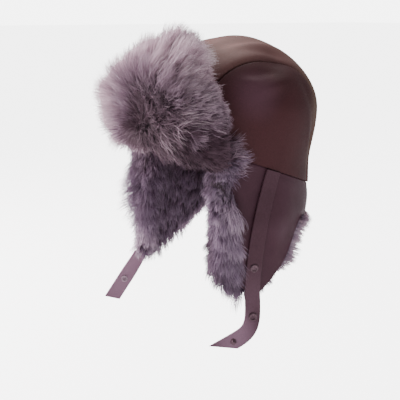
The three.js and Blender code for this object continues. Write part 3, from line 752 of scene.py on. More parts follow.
class Strap:
    """The strap's middle line and its ways, by the distance along it from its top."""

    def __init__(self, side, runs):
        frames = strap_frames(side, runs)
        self.count = len(frames[0])
        self.middle = rounded(frames[0], strap_fine)
        self.down, self.across, self.normal = [unit(rounded(f, strap_fine)) for f in frames[1:]]
        steps = np.linalg.norm(np.diff(self.middle, axis=0), axis=1)
        self.reach = np.concatenate([[0], np.cumsum(steps)])

    def at(self, s):
        """The place and the ways down, across and outwards at a distance s along the strap."""
        place, down, across, normal = [
            np.stack([np.interp(s, self.reach, rows[:, k]) for k in range(3)], axis=-1)
            for rows in (self.middle, self.down, self.across, self.normal)
        ]
        over = s - np.clip(s, 0, self.reach[-1])
        return place + unit(down) * over[..., None], unit(down), unit(across), unit(normal)

    def distance_at(self, share):
        row = share * (self.count - 1) * strap_fine
        return np.interp(row, np.arange(len(self.reach)), self.reach)


def strap_section(count):
    """A closed loop round the strap's section with rounded corners: mm across and mm of height."""
    radius = 1.0
    flat, high = strap_width / 2 - radius, strap_thickness / 2 - radius
    top = [(x, high + radius) for x in np.linspace(flat, -flat, count)[1:-1]]
    loop = []
    for at_x, at_y, start in [(1, 1, 0), (-1, 1, 90), (-1, -1, 180), (1, -1, 270)]:
        for t in np.radians(np.linspace(0, 90, 5)) + math.radians(start):
            loop.append((flat * at_x + radius * math.cos(t), high * at_y + radius * math.sin(t)))
        if at_x == at_y:
            loop += [(x * at_x, y * at_y) for x, y in top]
    return np.array(loop + loop[:1])


def close_grid(piece):
    """Merge the doubled seam of a rolled-up grid and close its open ends."""
    bpy.ops.object.mode_set(mode="EDIT")
    bpy.ops.mesh.select_all(action="SELECT")
    bpy.ops.mesh.remove_doubles(threshold=1e-6)
    bpy.ops.mesh.select_all(action="SELECT")
    bpy.ops.mesh.fill_holes(sides=0)
    bpy.ops.mesh.select_all(action="SELECT")
    bpy.ops.mesh.normals_make_consistent(inside=False)
    bpy.ops.object.mode_set(mode="OBJECT")


# Pale zones at the straps' lower ends are painted light reflected from below, over dusty specks.
strap_leather = leather(
    "strap_leather",
    (0.060, 0.0205, 0.0310),
    (0.082, 0.0320, 0.0470),
    (0.50, 0.30, 0.42),
    0.42,
    0.3,
    [(84, -55, -215, 48, 0.75), (86, -32, -165, 50, 0.12), (-100, -100, -190, 90, 0.85)],
)
section = strap_section(14)
groove_at = 0.8
groove_depth = 0.25
straps = {}

# columns: side, name, runs, slant of the cut end as a share of the width
for side, name, runs, end_slant in [
    (1, "left", left_runs, -0.74),
    (-1, "right", right_runs, -0.18),
]:
    strap = Strap(side, runs)
    straps[name] = strap
    down, across = strap.down[0], strap.across[0]
    tilt = -rim_tilt / half_length
    top_slant = (tilt * across[1] - across[2]) / (2 * (down[2] - tilt * down[1]))
    a = section[:, 0] / (strap_width / 2)
    start = a * top_slant * strap_width
    end = strap.reach[-1] + a * end_slant * strap_width
    share = np.linspace(0, 1, 121)[:, None]
    s = start[None, :] + (end - start)[None, :] * share
    middle, _, across, normal = strap.at(s)
    groove = np.exp(-(((np.abs(a) - groove_at) / 0.05) ** 2))
    height = section[:, 1][None, :] * (1 - groove_depth * groove)[None, :]
    points = middle + across * section[:, 0][None, :, None] + normal * height[..., None]
    piece = lay_grid(f"chin_strap_{name}_leather", points)
    close_grid(piece)
    smooth_by_angle(piece, 40)
    piece.data.materials.append(strap_leather)
    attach(piece, "root")
    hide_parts(f"chin_strap_{name}")


# Snap fasteners: small pressed metal caps, with a sunk middle or a raised stud. Their posts go
# through the strap, to a plate on its inside where the strap hangs free.
snap_radius = 5.1
plate_share = 0.86
snap_sides = 36

# columns: node, strap, place along it (share), size, shape
snap_places = [
    ("left_flap_snap", "left", 0.48, 1.0, "ring"),
    ("left_snap_socket", "left", 0.735, 1.0, "socket"),
    ("left_snap_stud", "left", 0.945, 0.72, "stud"),
    ("right_flap_snap", "right", 0.505, 1.0, "ring"),
    ("right_snap_stud", "right", 0.763, 0.72, "stud"),
    ("right_snap_socket", "right", 0.921, 1.0, "socket"),
]

# columns: radius, height over the leather, as shares of the cap's radius
snap_shapes = {
    "ring": [
        (1.0, 0.0), (1.0, 0.1), (0.93, 0.2), (0.8, 0.26),
        (0.62, 0.22), (0.5, 0.12), (0.3, 0.1), (0.02, 0.12),
    ],
    "socket": [
        (1.0, 0.0), (1.0, 0.1), (0.93, 0.22), (0.8, 0.28),
        (0.62, 0.24), (0.5, 0.02), (0.2, 0.0), (0.02, 0.0),
    ],
    "stud": [
        (1.0, 0.0), (1.0, 0.1), (0.9, 0.2), (0.6, 0.2),
        (0.5, 0.3), (0.42, 0.46), (0.25, 0.52), (0.02, 0.54),
    ],
    "plate": [
        (1.0, 0.0), (1.0, 0.12), (0.88, 0.28), (0.66, 0.3),
        (0.5, 0.2), (0.42, 0.02), (0.2, 0.0), (0.02, 0.0),
    ],
}


def painted_metal(name, dark, light, metallic):
    made, tree, shader = new_material(name)
    place = node(tree, "ShaderNodeTexCoord").outputs["Object"]
    wear = noise(tree, place, 600.0, 4.0)["Fac"]
    give(tree, shader, {
        "Base Color": ramp(tree, wear, [(0.35, dark), (0.65, light)]),
        "Roughness": map_range(tree, wear, 0.3, 0.7, 0.28, 0.44),
        "Metallic": metallic,
    })
    return made


cap_metal = painted_metal("snap_metal", (0.11, 0.060, 0.080), (0.20, 0.12, 0.15), 0.5)
# The plates' pale colour is a painted highlight on their rings; their own colour is close to the
# strap's.
plate_metal = painted_metal("plate_metal", (0.40, 0.27, 0.35), (0.60, 0.45, 0.54), 0.35)


def press_snap(name, strap, share, cap, shape, outside, metal):
    """A cap or plate of radius cap, turned from its shape's profile, on the strap's outer (1) or
    inner (-1) face."""
    middle, _, across, normal = strap.at(np.array(strap.distance_at(share)))
    normal = normal * outside
    profile = [(cap * r, strap_thickness / 2 + cap * h) for r, h in snap_shapes[shape]]
    bpy.ops.object.select_all(action="DESELECT")
    bpy.ops.mesh.primitive_circle_add(vertices=snap_sides, radius=cap * mm, fill_type="NOTHING")
    piece = bpy.context.object
    piece.name = name
    piece.data.name = name
    bpy.ops.object.mode_set(mode="EDIT")
    bpy.ops.mesh.select_all(action="SELECT")
    for _ in profile[1:]:
        bpy.ops.mesh.extrude_edges_indiv()
    bpy.ops.object.mode_set(mode="OBJECT")
    spots = np.empty(len(piece.data.vertices) * 3)
    piece.data.vertices.foreach_get("co", spots)
    spots = spots.reshape(-1, snap_sides, 3)
    for row, (radius, height) in enumerate(profile):
        way = unit(spots[row][:, :2])
        spots[row][:, :2] = way * radius * mm
        spots[row][:, 2] = height * mm
    piece.data.vertices.foreach_set("co", spots.ravel())
    basis = Matrix((across, unit(np.cross(normal, across)), normal)).transposed().to_4x4()
    piece.data.transform(Matrix.Translation(Vector(middle) * mm) @ basis)
    close_grid(piece)
    smooth_by_angle(piece, 50)
    piece.data.materials.append(metal)
    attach(piece, "root")
    return piece


for name, strap_name, share, size, shape in snap_places:
    strap, radius = straps[strap_name], snap_radius * size
    cap = press_snap(name + "_cap", strap, share, radius, shape, 1, cap_metal)
    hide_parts(name)
    if shape != "ring":
        plate = radius * plate_share
        press_snap(name + "_plate", strap, share, plate, "plate", -1, plate_metal)


# Wool of the front flap: long soft sheepskin that parts at a whorl in front and falls away from it
# all round, over the top of the flap and under the fold to the brow.
tone_cells = 16
front_inset = 2.45
hair_width = 0.62
hair_wave = 0.3


def wool_material(name, roots, middles, tips):
    """Each hair's UV map gives its shade across, and root to tip upwards."""
    made, tree, shader = new_material(name)
    place = node(tree, "ShaderNodeUVMap", uv_map="OFBake").outputs["UV"]
    across, upwards, _ = node(tree, "ShaderNodeSeparateXYZ", {"Vector": place}).outputs
    cell = maths(tree, "FLOOR", maths(tree, "MULTIPLY", across, float(tone_cells)), 0.0)
    level = maths(tree, "DIVIDE", cell, float(tone_cells - 1))
    shade = ramp(tree, level, roots, False)
    for colours, start, end in [(middles, 0.1, 0.5), (tips, 0.45, 0.95)]:
        share = map_range(tree, upwards, start, end, kind="SMOOTHSTEP")
        shade = mix(tree, share, shade, ramp(tree, level, colours, False))
    give(tree, shader, {
        "Base Color": shade,
        "Roughness": 0.62,
        "Specular IOR Level": 0.35,
        "Sheen Weight": 0.25,
        "Sheen Roughness": 0.4,
        "Sheen Tint": (0.85, 0.72, 0.8, 1),
    })
    return made


def skin_normals(skin, under):
    """The ways off a skin of points, on the side away from the skin under it."""
    normals = unit(np.cross(np.gradient(skin, axis=0), np.gradient(skin, axis=1)))
    return normals * np.sign(np.sum(normals * (skin - under)))


def scatter(skin, under, count, rng, weight=None):
    """Random hairs on a skin of points, evenly by area or by weight: each one's place, its way off
    the skin, the skin's own ways down and across, and its position on the skin's grid."""
    corner = skin[:-1, :-1]
    area = np.linalg.norm(np.cross(skin[1:, :-1] - corner, skin[:-1, 1:] - corner), axis=-1)
    if weight is not None:
        area = area * weight[:-1, :-1]
    chosen = rng.choice(area.size, size=count, p=(area / area.sum()).ravel())
    i, j = np.unravel_index(chosen, area.shape)
    u, v = rng.random(count), rng.random(count)

    def blend(field):
        a = field[i, j] * (1 - u)[:, None] + field[i + 1, j] * u[:, None]
        b = field[i, j + 1] * (1 - u)[:, None] + field[i + 1, j + 1] * u[:, None]
        return a * (1 - v)[:, None] + b * v[:, None]

    return {
        "root": blend(skin),
        "out": unit(blend(skin_normals(skin, under))),
        "down": unit(blend(np.gradient(skin, axis=0))),
        "aside": unit(blend(np.gradient(skin, axis=1))),
        "row": (i + u) / (skin.shape[0] - 1),
        "column": (j + v) / (skin.shape[1] - 1),
    }


def grow_wool(name, material, hairs, rng, locks, pull=0.5, stray=0.15):
    """Flat tapering hairs. Each starts at its root, leans from out towards flow, and has a length
    and a tone from 0, dark, to 1, pale. Hairs in a lock lean alike and draw together at the tip."""

    def joined(key, dimensions):
        return np.concatenate([
            np.broadcast_to(group[key], group["root"].shape[:dimensions]) for group in hairs
        ])

    root, out, flow = [joined(key, 2) for key in ("root", "out", "flow")]
    length, tone, lean_from, lean_to = [
        joined(key, 1) for key in ("length", "tone", "lean_from", "lean_to")
    ]
    count = len(root)
    steps = 4
    leaders = rng.choice(count, size=locks, replace=False)
    tree = KDTree(locks)
    for k, leader in enumerate(leaders):
        tree.insert(root[leader], k)
    tree.balance()
    lock = np.array([tree.find(p)[1] for p in root])
    lock_shift = rng.normal(0, 1, (locks, 3))[lock]
    lock_length = np.clip(1 + 0.18 * rng.normal(0, 1, locks), 0.6, 1.4)[lock]
    lock_lift = rng.normal(0, 0.14, locks)[lock]
    lock_turn = rng.uniform(0, 2 * np.pi, locks)[lock]
    lock_tone = rng.normal(0, 0.07, locks)[lock]
    own = rng.normal(0, 1, (count, 3))
    full = length * np.clip(lock_length * (1 + 0.13 * rng.normal(0, 1, count)), 0.5, 1.3)
    side = unit(np.cross(out, flow))
    path = np.zeros((count, steps + 1, 3))
    path[:, 0] = root
    for k in range(steps):
        t = (k + 0.5) / steps
        angle = np.radians(lean_from + (lean_to - lean_from) * t**0.7)[:, None]
        way = out * np.cos(angle) + flow * np.sin(angle)
        way = way + out * lock_lift[:, None] + lock_shift * 0.12 + own * stray
        way = way + side * (hair_wave * np.sin(3.4 * t + lock_turn) * t)[:, None]
        path[:, k + 1] = path[:, k] + unit(way) * (full / steps)[:, None]
    gather = (pull * np.linspace(0, 1, steps + 1) ** 1.5)[None, :, None]
    path = path + (path[leaders][lock] - path) * gather
    spin = rng.normal(0, 0.5, count)[:, None, None]
    flat = unit(np.cross(np.gradient(path, axis=1), out[:, None, :]))
    flat = unit(flat * np.cos(spin) + out[:, None, :] * np.sin(spin))
    taper = np.array([1.0, 0.95, 0.78, 0.5])[None, :, None]
    width = hair_width * (0.7 + 0.6 * rng.random(count))
    half = flat[:, :steps] * taper * width[:, None, None] / 2
    pair = np.stack([path[:, :steps] - half, path[:, :steps] + half], axis=2).reshape(count, -1, 3)
    spots = np.concatenate([pair, path[:, steps:]], axis=1)
    each = 2 * steps + 1
    quads = np.array([[2 * k, 2 * k + 1, 2 * k + 3, 2 * k + 2] for k in range(steps - 1)]).ravel()
    order = np.concatenate([quads, [2 * steps - 2, 2 * steps - 1, 2 * steps]])
    corners = ((np.arange(count) * each)[:, None] + order[None, :]).ravel()
    starts = (np.arange(count) * len(order))[:, None] + (np.arange(steps) * 4)[None, :]
    mesh = bpy.data.meshes.new(name)
    mesh.vertices.add(count * each)
    mesh.vertices.foreach_set("co", (spots * mm).ravel())
    mesh.loops.add(len(corners))
    mesh.loops.foreach_set("vertex_index", corners.astype(np.int32))
    mesh.polygons.add(count * steps)
    mesh.polygons.foreach_set("loop_start", starts.ravel().astype(np.int32))
    mesh.update(calc_edges=True)
    mesh.polygons.foreach_set("use_smooth", np.ones(count * steps, dtype=bool))
    shade = tone + lock_tone + 0.09 * rng.normal(0, 1, count)
    cell = np.clip(np.floor(shade * tone_cells), 0, tone_cells - 1)
    across = np.tile([0.15, 0.85], steps).tolist() + [0.5]
    upwards = np.repeat(np.arange(steps) / steps, 2).tolist() + [0.98]
    u = (cell[:, None] + np.array(across)[None, :]) / tone_cells
    v = np.broadcast_to(np.array(upwards)[None, :] * 0.96 + 0.02, u.shape)
    layer = mesh.uv_layers.new(name="OFBake")
    layer.data.foreach_set("uv", np.stack([u, v], axis=-1).reshape(-1, 2)[corners].ravel())
    mesh.materials.append(material)
    piece = bpy.data.objects.new(name, mesh)
    bpy.context.scene.collection.objects.link(piece)
    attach(piece, "root")
    return piece


def front_profile(bearing, part):
    """The wool's face in one upright plane, from behind the top edge down to inside the brow."""
    end = np.abs(bearing) / (wool_bearing + 1)
    full = np.sqrt(1 - end**8)
    droop = 10 * smooth(18, 44, np.abs(bearing))
    dent = np.exp(-(((bearing - 12) / 24) ** 2))
    rim = rim_height(bearing)
    deep = wool_depth * full
    rows = []
    # columns: rise, distance off the flap (share of the wool's depth), lift over the top edge
    for rise, out, lift in [
        (1.0, 0.05 - 0.3 * full, 0.55),
        (1.0, 0.4, 1.0),
        (1.0, 0.82, 0.55),
        (0.84, 1.04, 0),
        (0.66, 1.1 - 0.16 * dent, 0),
        (0.47, 1.06 - 0.42 * dent, 0),
        (0.28, 1.06 - 0.36 * dent, 0),
        (0.12, 1.0 - 0.1 * dent, 0),
        (0.0, 0.9, 0),
    ]:
        point = front_point(bearing, rise, front_inset + deep * out * part)
        point[..., 2] += lift * wool_over * full * part - droop * smooth(0.5, 0, rise)
        rows.append(point)
    under = wool_under * (0.4 + 0.6 * full) * part
    rows += [
        wall_point(bearing, rim - under * 0.75 - droop, deep * 0.66 * part),
        wall_point(bearing, rim - under - droop * 0.6, deep * 0.25 * part),
        wall_point(bearing, rim - under * 0.75, -front_inset - brow_depth * 0.5 * part),
        wall_point(bearing, rim - under * 0.2, -front_inset - brow_depth * part),
        wall_point(bearing, rim + under * 0.7, -front_inset - brow_depth * 0.8 * part),
    ]
    return np.array(rows)


def front_skin(part, fine):
    bearing = wool_bearing * np.linspace(-1, 1, 61)
    rows = front_profile(bearing, part)
    columns = [rounded(rows[:, k], fine) for k in range(len(bearing))]
    return np.stack(columns, axis=1)


def lay_underwool(name, loops, replaced):
    piece = lay_grid(name, np.concatenate([loops, loops[:1]], axis=0))
    close_grid(piece)
    smooth_by_angle(piece, 60)
    piece.data.materials.append(underwool)
    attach(piece, "root")
    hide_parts(replaced)


wool = wool_material(
    "wool",
    [(0.0, (0.040, 0.017, 0.028)), (1.0, (0.16, 0.092, 0.130))],
    [(0.0, (0.088, 0.040, 0.062)), (0.5, (0.28, 0.176, 0.250)), (1.0, (0.72, 0.53, 0.62))],
    [(0.0, (0.15, 0.083, 0.120)), (0.5, (0.56, 0.405, 0.510)), (1.0, (0.98, 0.81, 0.88))],
)

underwool, tree, shader = new_material("underwool")
tufts = noise(tree, node(tree, "ShaderNodeTexCoord").outputs["Object"], 260.0, 5.0, 0.7)["Fac"]
give(tree, shader, {
    "Base Color": ramp(tree, tufts, [(0.35, (0.030, 0.017, 0.024)), (0.7, (0.095, 0.062, 0.083))]),
    "Normal": bumped(tree, tufts, 0.8, 0.002),
    "Roughness": 0.9,
})

bearing = wool_bearing * np.linspace(-1, 1, 61)
backing_rows = np.array([front_point(bearing, rise, 2.6) for rise in np.linspace(0, 1, 12)])
over_edge = backing_rows[-1:] + np.array([0, 0, 1.0])
loops = np.concatenate([front_skin(0.60, 5), backing_rows, over_edge], axis=0)
lay_underwool("front_underwool", loops, "front_flap_fur")

# columns: place x, y, z, way x, y, z, length, spread, tone, hairs
front_tufts = [
    (66, -119, 46, 0.5, 0.85, 0.1, 32, 6, 0.8, 220),
    (78, -110, 28, 0.5, 0.8, -0.2, 24, 6, 0.4, 160),
    (52, -122, 66, 0.6, 0.6, 0.6, 26, 6, 0.85, 180),
    (86, -98, 42, 0.35, 0.9, 0.0, 21, 5, 0.55, 140),
    (74, -60, 4, 0.3, 0.8, 0.45, 22, 6, 0.38, 240),
    (77, -54, -8, 0.25, 0.9, 0.0, 20, 6, 0.46, 200),
    (54, -125, 28, 0.35, 0.6, -0.7, 24, 9, 0.75, 60),
    (66, -119, 40, 0.5, 0.8, -0.15, 27, 8, 0.9, 100),
]

front_hairs = 24000
root_depth = 9
whorl = np.array([8.0, -137.0, 33.0])
recess = np.array([32.0, -130.0, 31.0])
skin = front_skin(0.82, 6)
for part in (1, 2):
    rng = np.random.default_rng(10 + part)
    hairs = scatter(skin, front_skin(0.5, 6), front_hairs, rng)
    place, out = hairs["root"], hairs["out"]
    x, z = place[:, 0], place[:, 2]
    away = place - whorl + rng.normal(0, 7, place.shape)
    far = np.linalg.norm(place - whorl, axis=1)

    # painted shade: dark in the recess beside the whorl and towards the foot and the left end;
    # painted light: pale at the wearer's right, where the rosy light falls, and along the top, lit
    # from above
    tone = 0.02 + 0.58 * smooth(22, 66, np.linalg.norm(place - recess, axis=1))
    tone = tone + 0.68 * smooth(25, -85, x) + 0.3 * smooth(50, 110, z) - 0.06 * smooth(60, 110, x)
    tone = tone - 0.5 * smooth(46, 12, z) * smooth(-60, 0, x)
    tone = tone - 0.34 * smooth(62, 88, x) * smooth(56, 28, z)

    # shorter at the whorl, over the top edge, at the foot, at the right's top and at the left end
    length = 20 + 12 * smooth(5, 45, far)
    length = length * (1 - 0.2 * smooth(92, 125, z)) * (1 - 0.6 * smooth(16, -14, z))
    length = length * (1 - 0.5 * smooth(50, 84, z) * smooth(0, -45, x))
    length = length * (1 - 0.56 * smooth(52, 96, x) * smooth(104, 84, z))
    hairs.update(
        flow=unit(away - np.sum(away * out, axis=1, keepdims=True) * out),
        root=place - out * np.minimum(root_depth, 0.42 * length)[:, None],
        length=length,
        tone=tone,
        lean_from=22,
        lean_to=80 - 20 * smooth(0, -40, x) * smooth(66, 40, z) * smooth(-5, 20, z),
    )
    groups = [hairs]
    for x, y, z, way_x, way_y, way_z, length, spread, tone, count in front_tufts:
        middle, shape = np.array([x, y, z]), (count // 2, 3)
        around = np.clip(rng.normal(0, 1, shape), -1.8, 1.8) * spread * np.array([0.6, 0.6, 1.0])
        groups.append({
            "root": middle + around,
            "out": np.broadcast_to(unit(middle * np.array([1, 1, 0.2])), shape),
            "flow": unit(np.array([way_x, way_y, way_z]) + rng.normal(0, 0.2, shape)),
            "length": length,
            "tone": tone,
            "lean_from": 50,
            "lean_to": 80,
        })
    grow_wool(f"front_wool_{part}", wool, groups, rng, locks=900, pull=0.42, stray=0.16)


# Wool of the ear and neck flaps: the sheepskin's wool side faces the head. It rolls forwards round
# each ear flap's front edge and combs back over the leather, and its tips fringe the lower edge.
ear_wool = 13.0
ear_inset = 2.9
ear_roll = 11.0
ear_forward = 40.27
ear_edge = 54.5
ear_below = 11.0

# columns: bearing, distance off the leather's outer face as a share of the roll, and of the wool's
# depth inwards; from the outside over the front roll to the inside
ear_section = [
    (59, 0.06, 0), (56.5, 0.45, 0), (54.5, 0.81, 0), (51, 0.97, 0), (47.5, 0.92, 0),
    (44, 0.66, 0), (41, 0.3, 0), (39.8, 0, 0.05), (41, 0, 0.36), (44.5, 0, 0.66), (50, 0, 0.9),
    (58, 0, 1.0), (70, 0, 1.0), (84, 0, 1.0), (98, 0, 1.0), (112, 0, 1.0), (124, 0, 1.0),
]


def ear_reach(bearing):
    """The wool's highest and lowest drop below the rim."""
    ahead = smooth(flap_front, ear_forward, np.abs(bearing))
    high = 0.4 + 8 * ahead
    low = edge_drop(np.maximum(np.abs(bearing), flap_front)) + ear_below - 10 * ahead
    return high, low


def ear_skin(side, part, fine, rows):
    """The wool's face at a part of its depth, from the flap's outside round to its inside. The
    left flap's roll is pinched below the rim, and the right one's is puffed up."""
    down = []
    for q in np.linspace(0, 1, rows):
        line = []
        for bearing, over, inwards in ear_section:
            high, low = ear_reach(bearing)
            drop = high + (low - 7 - high) * q
            pinched = np.interp(drop, [0, 12, 34, 64, 110], [1.8, 1.6, 0.8, 1.25, 1.0])
            puff = pinched if side > 0 else 1 + 2.6 * smooth(110, 0, drop)
            if bearing > flap_front:
                at = bearing - 2.5 * smooth(14, 34, drop) * smooth(60, 40, drop)
            else:
                at = flap_front - (flap_front - bearing) * (0.45 + 0.55 * part)
            deep = ear_inset + ear_wool * inwards * part if inwards else 0
            line.append(flap_spot(side * at, drop, ear_roll * over * puff * part - deep))
        down.append(rounded(np.array(line), fine))
    return np.array(down)


def hem_skin(bearings, part, rows):
    """The wool's lower face, from the leather's edge across to its inner face."""
    lines = []
    for share in np.linspace(0, 1, rows):
        belly = 6 * part * math.sin(math.pi * share)
        deep = -2.4 - (ear_wool - 1) * share * part
        lines.append([flap_spot(at, edge_drop(at) - 3 + belly, deep) for at in bearings])
    return np.array(lines)


ahead = [0, 0.25, 0.5, 0.75, 0.97]
turns = [ear_forward + 2 + (ear_edge - ear_forward - 2) * t for t in ahead]
turns = np.array(turns + np.linspace(ear_edge + 0.3, 360 - ear_edge - 0.3, 91).tolist())
turns = np.concatenate([turns, (360 - turns[:5])[::-1]])
columns = []
for bearing in round_bearing(turns).tolist():
    high, low = ear_reach(bearing)
    low = low - 14
    share = min(max((ear_edge - abs(bearing)) / (ear_edge - ear_forward), 0), 1)
    roll = -2.6
    if abs(bearing) < ear_edge:
        roll = 0.6 * ear_roll * math.sin(math.pi * (0.3 + 0.62 * share))
    face = -ear_inset - 0.6 * ear_wool * (1 - 0.7 * share**2)
    drops = np.linspace(high, low, 24)
    back = [flap_spot(bearing, drop, roll) for drop in drops]
    fore = [flap_spot(bearing, drop, face) for drop in drops[::-1]]
    under = [flap_spot(bearing, low + 1.5, roll - 1), flap_spot(bearing, low + 1.5, face + 1)]
    columns.append(back + under + fore)
loops = np.array(columns).transpose(1, 0, 2)
lay_underwool("ear_and_neck_underwool", loops, "ear_and_neck_fur")

ear_wool_shade = wool_material(
    "ear_wool",
    [(0.0, (0.040, 0.017, 0.031)), (1.0, (0.15, 0.090, 0.145))],
    [(0.0, (0.084, 0.040, 0.068)), (0.5, (0.26, 0.172, 0.275)), (1.0, (0.64, 0.49, 0.62))],
    [(0.0, (0.14, 0.083, 0.130)), (0.5, (0.53, 0.400, 0.550)), (1.0, (0.96, 0.80, 0.90))],
)

# columns: bearing, drop, off the leather, way ahead, out and down, length, spread, tone, hairs
ear_tufts = [
    (57, 5, 3, -0.85, 0.4, -0.3, 20, 6, 0.4, 110),
    (54, 11, 4, -0.85, 0.4, 0.0, 18, 6, 0.38, 150),
    (54, 18, 3, -0.5, 0.3, 0.6, 15, 5, 0.32, 110),
    (56, 58, 5, -0.15, 0.3, 0.95, 26, 7, 0.66, 380),
    (56, 90, 5, -0.1, 0.3, 0.95, 25, 6, 0.55, 320),
    (57, 120, 4, -0.05, 0.3, 1.0, 22, 5, 0.45, 240),
]

# columns: bearing, length of the hem's hairs, which are short under the strap
hem_lengths = np.array([(56, 20), (62, 31), (65, 29), (67, 8), (94, 8), (102, 17), (126, 17)])
ear_hairs = 19000
hem_hairs = 4600
hem_start = 56
hem_end = 126

for side, name in [(1, "left"), (-1, "right")]:
    rng = np.random.default_rng(20 + side)
    skin = ear_skin(side, 0.86, 5, 40)
    under = ear_skin(side, 0.6, 5, 40)
    seen = np.linspace(0, 1, skin.shape[1])[None, :] * np.ones((skin.shape[0], 1))
    hairs = scatter(skin, under, ear_hairs, rng, weight=1 + 2.2 * smooth(0.55, 0.4, seen))
    place, out, column, row = hairs["root"], hairs["out"], hairs["column"], hairs["row"]
    outside = smooth(0.36, 0.2, column)
    waist = smooth(0.1, 0.2, row) * smooth(0.42, 0.3, row)
    backwards = (0.2 - 0.35 * waist) * outside - 0.35 * (1 - outside) * smooth(0.7, 0.4, column)
    bulge = smooth(0.1, 0.3, row) * smooth(0.85, 0.55, row) * smooth(0.6, 0.4, column)
    if side > 0:
        extra = outside * np.interp(row, [0, 0.15, 0.3, 0.5], [-2, -8, -7, 7])
        paler = 0.04 - 0.24 * smooth(0.45, 0.7, row)
        lean_to, hem_share, tufts, locks, pull = 74, 1, ear_tufts, 800, 0.38
    else:
        extra = 4 * outside + 11 * bulge
        paler = 0.34 * smooth(0.62, 1, row)
        lean_to, hem_share, tufts, locks, pull = 74 - 34 * bulge, 0.55, [], 1500, 0.35
    hairs.update(
        flow=unit(hairs["down"] - hairs["aside"] * backwards[:, None]),
        root=place - out * (5.5 - 3 * smooth(0.1, 0, column))[:, None],
        length=16 + extra,
        tone=0.38 + 0.2 * outside - 0.32 * smooth(0.3, 0.08, row) + paler,
        lean_from=25,
        lean_to=lean_to,
    )
    bearings = np.linspace(hem_start, hem_end, 60)
    behind = 1 + 2.5 * smooth(92, 102, bearings)[None, :] * np.ones((9, 1))
    outer, inner = [hem_skin(side * bearings, part, 9) for part in (0.9, 0.5)]
    hem = scatter(outer, inner, hem_hairs, rng, weight=behind)
    at = hem_start + (hem_end - hem_start) * hem["column"]
    backwards = np.interp(at, [56, 72, 92, 101], [0.1, 0.2, 0.3, 0.85])[:, None]
    outwards = unit(hem["root"] * np.array([1, 1, 0])) * np.interp(at, [90, 103], [0, 0.8])[:, None]
    hem.update(
        flow=unit(np.array([0, 0, -1.0]) + hem["aside"] * backwards + outwards),
        root=hem["root"] - hem["out"] * 2,
        length=np.interp(at, *hem_lengths.T) * hem_share,
        tone=np.interp(at, [56, 80, 96, 126], [0.4, 0.4, 1.0, 1.0]),
        lean_from=10,
        lean_to=60,
    )
    groups = [hairs, hem]
    for bearing, drop, off, ahead, outwards, down, length, spread, tone, count in tufts:
        middle = flap_spot(side * bearing, drop, off)
        back = unit(flap_spot(side * (bearing + 1), drop, off) - middle)
        low = unit(flap_spot(side * bearing, drop + 1, off) - middle)
        out = unit(flap_spot(side * bearing, drop, off + 1) - middle)
        way = unit(-back * ahead + out * 0.5 * outwards + low * down)
        reach = low * spread + back * 0.5 * spread + out * 0.2 * spread
        shape = (count, 3)
        groups.append({
            "root": middle + rng.normal(0, 1, shape) * reach,
            "out": np.broadcast_to(out, shape),
            "flow": unit(way + rng.normal(0, 0.34, shape)),
            "length": length,
            "tone": tone,
            "lean_from": 45,
            "lean_to": 80,
        })
    grow_wool(f"ear_wool_{name}", ear_wool_shade, groups, rng, locks=locks, pull=pull)

neck_hairs = 6000
neck_bearings = round_bearing(np.linspace(118, 242, 80)).tolist()


def neck_skin(part):
    """The wool's face inside the neck flap, from the rim down to its hem."""
    deep = -ear_inset - ear_wool * part
    rows = []
    for q in np.linspace(0, 1, 16):
        rows.append([flap_spot(at, 1 + (edge_drop(at) - 1) * q, deep) for at in neck_bearings])
    return np.array(rows)


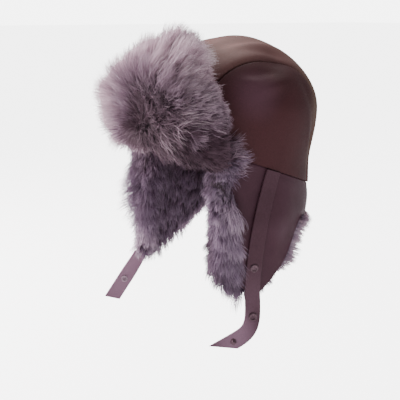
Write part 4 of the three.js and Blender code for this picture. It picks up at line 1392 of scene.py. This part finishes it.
rng = np.random.default_rng(31)
lining = scatter(neck_skin(0.85), neck_skin(0.6), neck_hairs, rng)
lining.update(
    flow=lining["down"],
    root=lining["root"] - lining["out"] * 5,
    length=15,
    tone=0.42,
    lean_from=25,
    lean_to=70,
)
outer, inner = [hem_skin(neck_bearings, part, 7) for part in (0.9, 0.5)]
fringe = scatter(outer, inner, neck_hairs, rng)
outwards = unit(fringe["root"] * np.array([1, 1, 0])) * 0.7
fringe.update(
    flow=unit(np.array([0, 0, -1.0]) + outwards),
    root=fringe["root"] - fringe["out"] * 2,
    length=16,
    tone=0.95,
    lean_from=10,
    lean_to=60,
)
grow_wool("neck_wool", wool, [lining, fringe], rng, locks=700)


# Floor, light and surroundings: a plain pale floor well below the hat, a big soft light from above,
# a rosy one from the front on the wearer's right, and an even white surround.
surround_light = 0.35
surround_seen = 6.0
floor_light = 0.35
floor_seen = 4.8
floor_height = -0.36
bpy.ops.object.select_all(action="DESELECT")
bpy.ops.mesh.primitive_plane_add(size=60, location=(0, 0, floor_height))
floor = bpy.context.object
floor.name = "floor"
floor_paint, tree, shader = new_material("floor_paint")
seen = node(tree, "ShaderNodeLightPath").outputs["Is Camera Ray"]
give(tree, shader, {
    "Base Color": (0.9, 0.9, 0.9, 1),
    "Roughness": 0.9,
    "Emission Color": (1, 1, 1, 1),
    "Emission Strength": map_range(tree, seen, 0.0, 1.0, floor_light, floor_seen),
})
floor.data.materials.append(floor_paint)

world = bpy.data.worlds.new("surround")
bpy.context.scene.world = world
world.use_nodes = True
tree = world.node_tree
seen = node(tree, "ShaderNodeLightPath").outputs["Is Camera Ray"]
strength = map_range(tree, seen, 0.0, 1.0, surround_light, surround_seen)
give(tree, tree.nodes["Background"], {"Color": (1, 1, 1, 1), "Strength": strength})

# columns: name, place, size in metres, power in watts, colour; each light faces the hat
for name, spot, size, power, colour in [
    ("top_light", (-0.5, 0.3, 1.3), 1.0, 14, (1, 0.98, 0.95)),
    ("rim_light", (-1.0, -0.9, 0.5), 0.8, 37, (1, 0.88, 0.92)),
]:
    data = bpy.data.lights.new(name, "AREA")
    data.shape = "DISK"
    data.size = size
    data.energy = power
    data.color = colour
    lamp = bpy.data.objects.new(name, data)
    bpy.context.scene.collection.objects.link(lamp)
    lamp.location = spot
    lamp.rotation_euler = (-Vector(spot)).to_track_quat("-Z", "Y").to_euler()
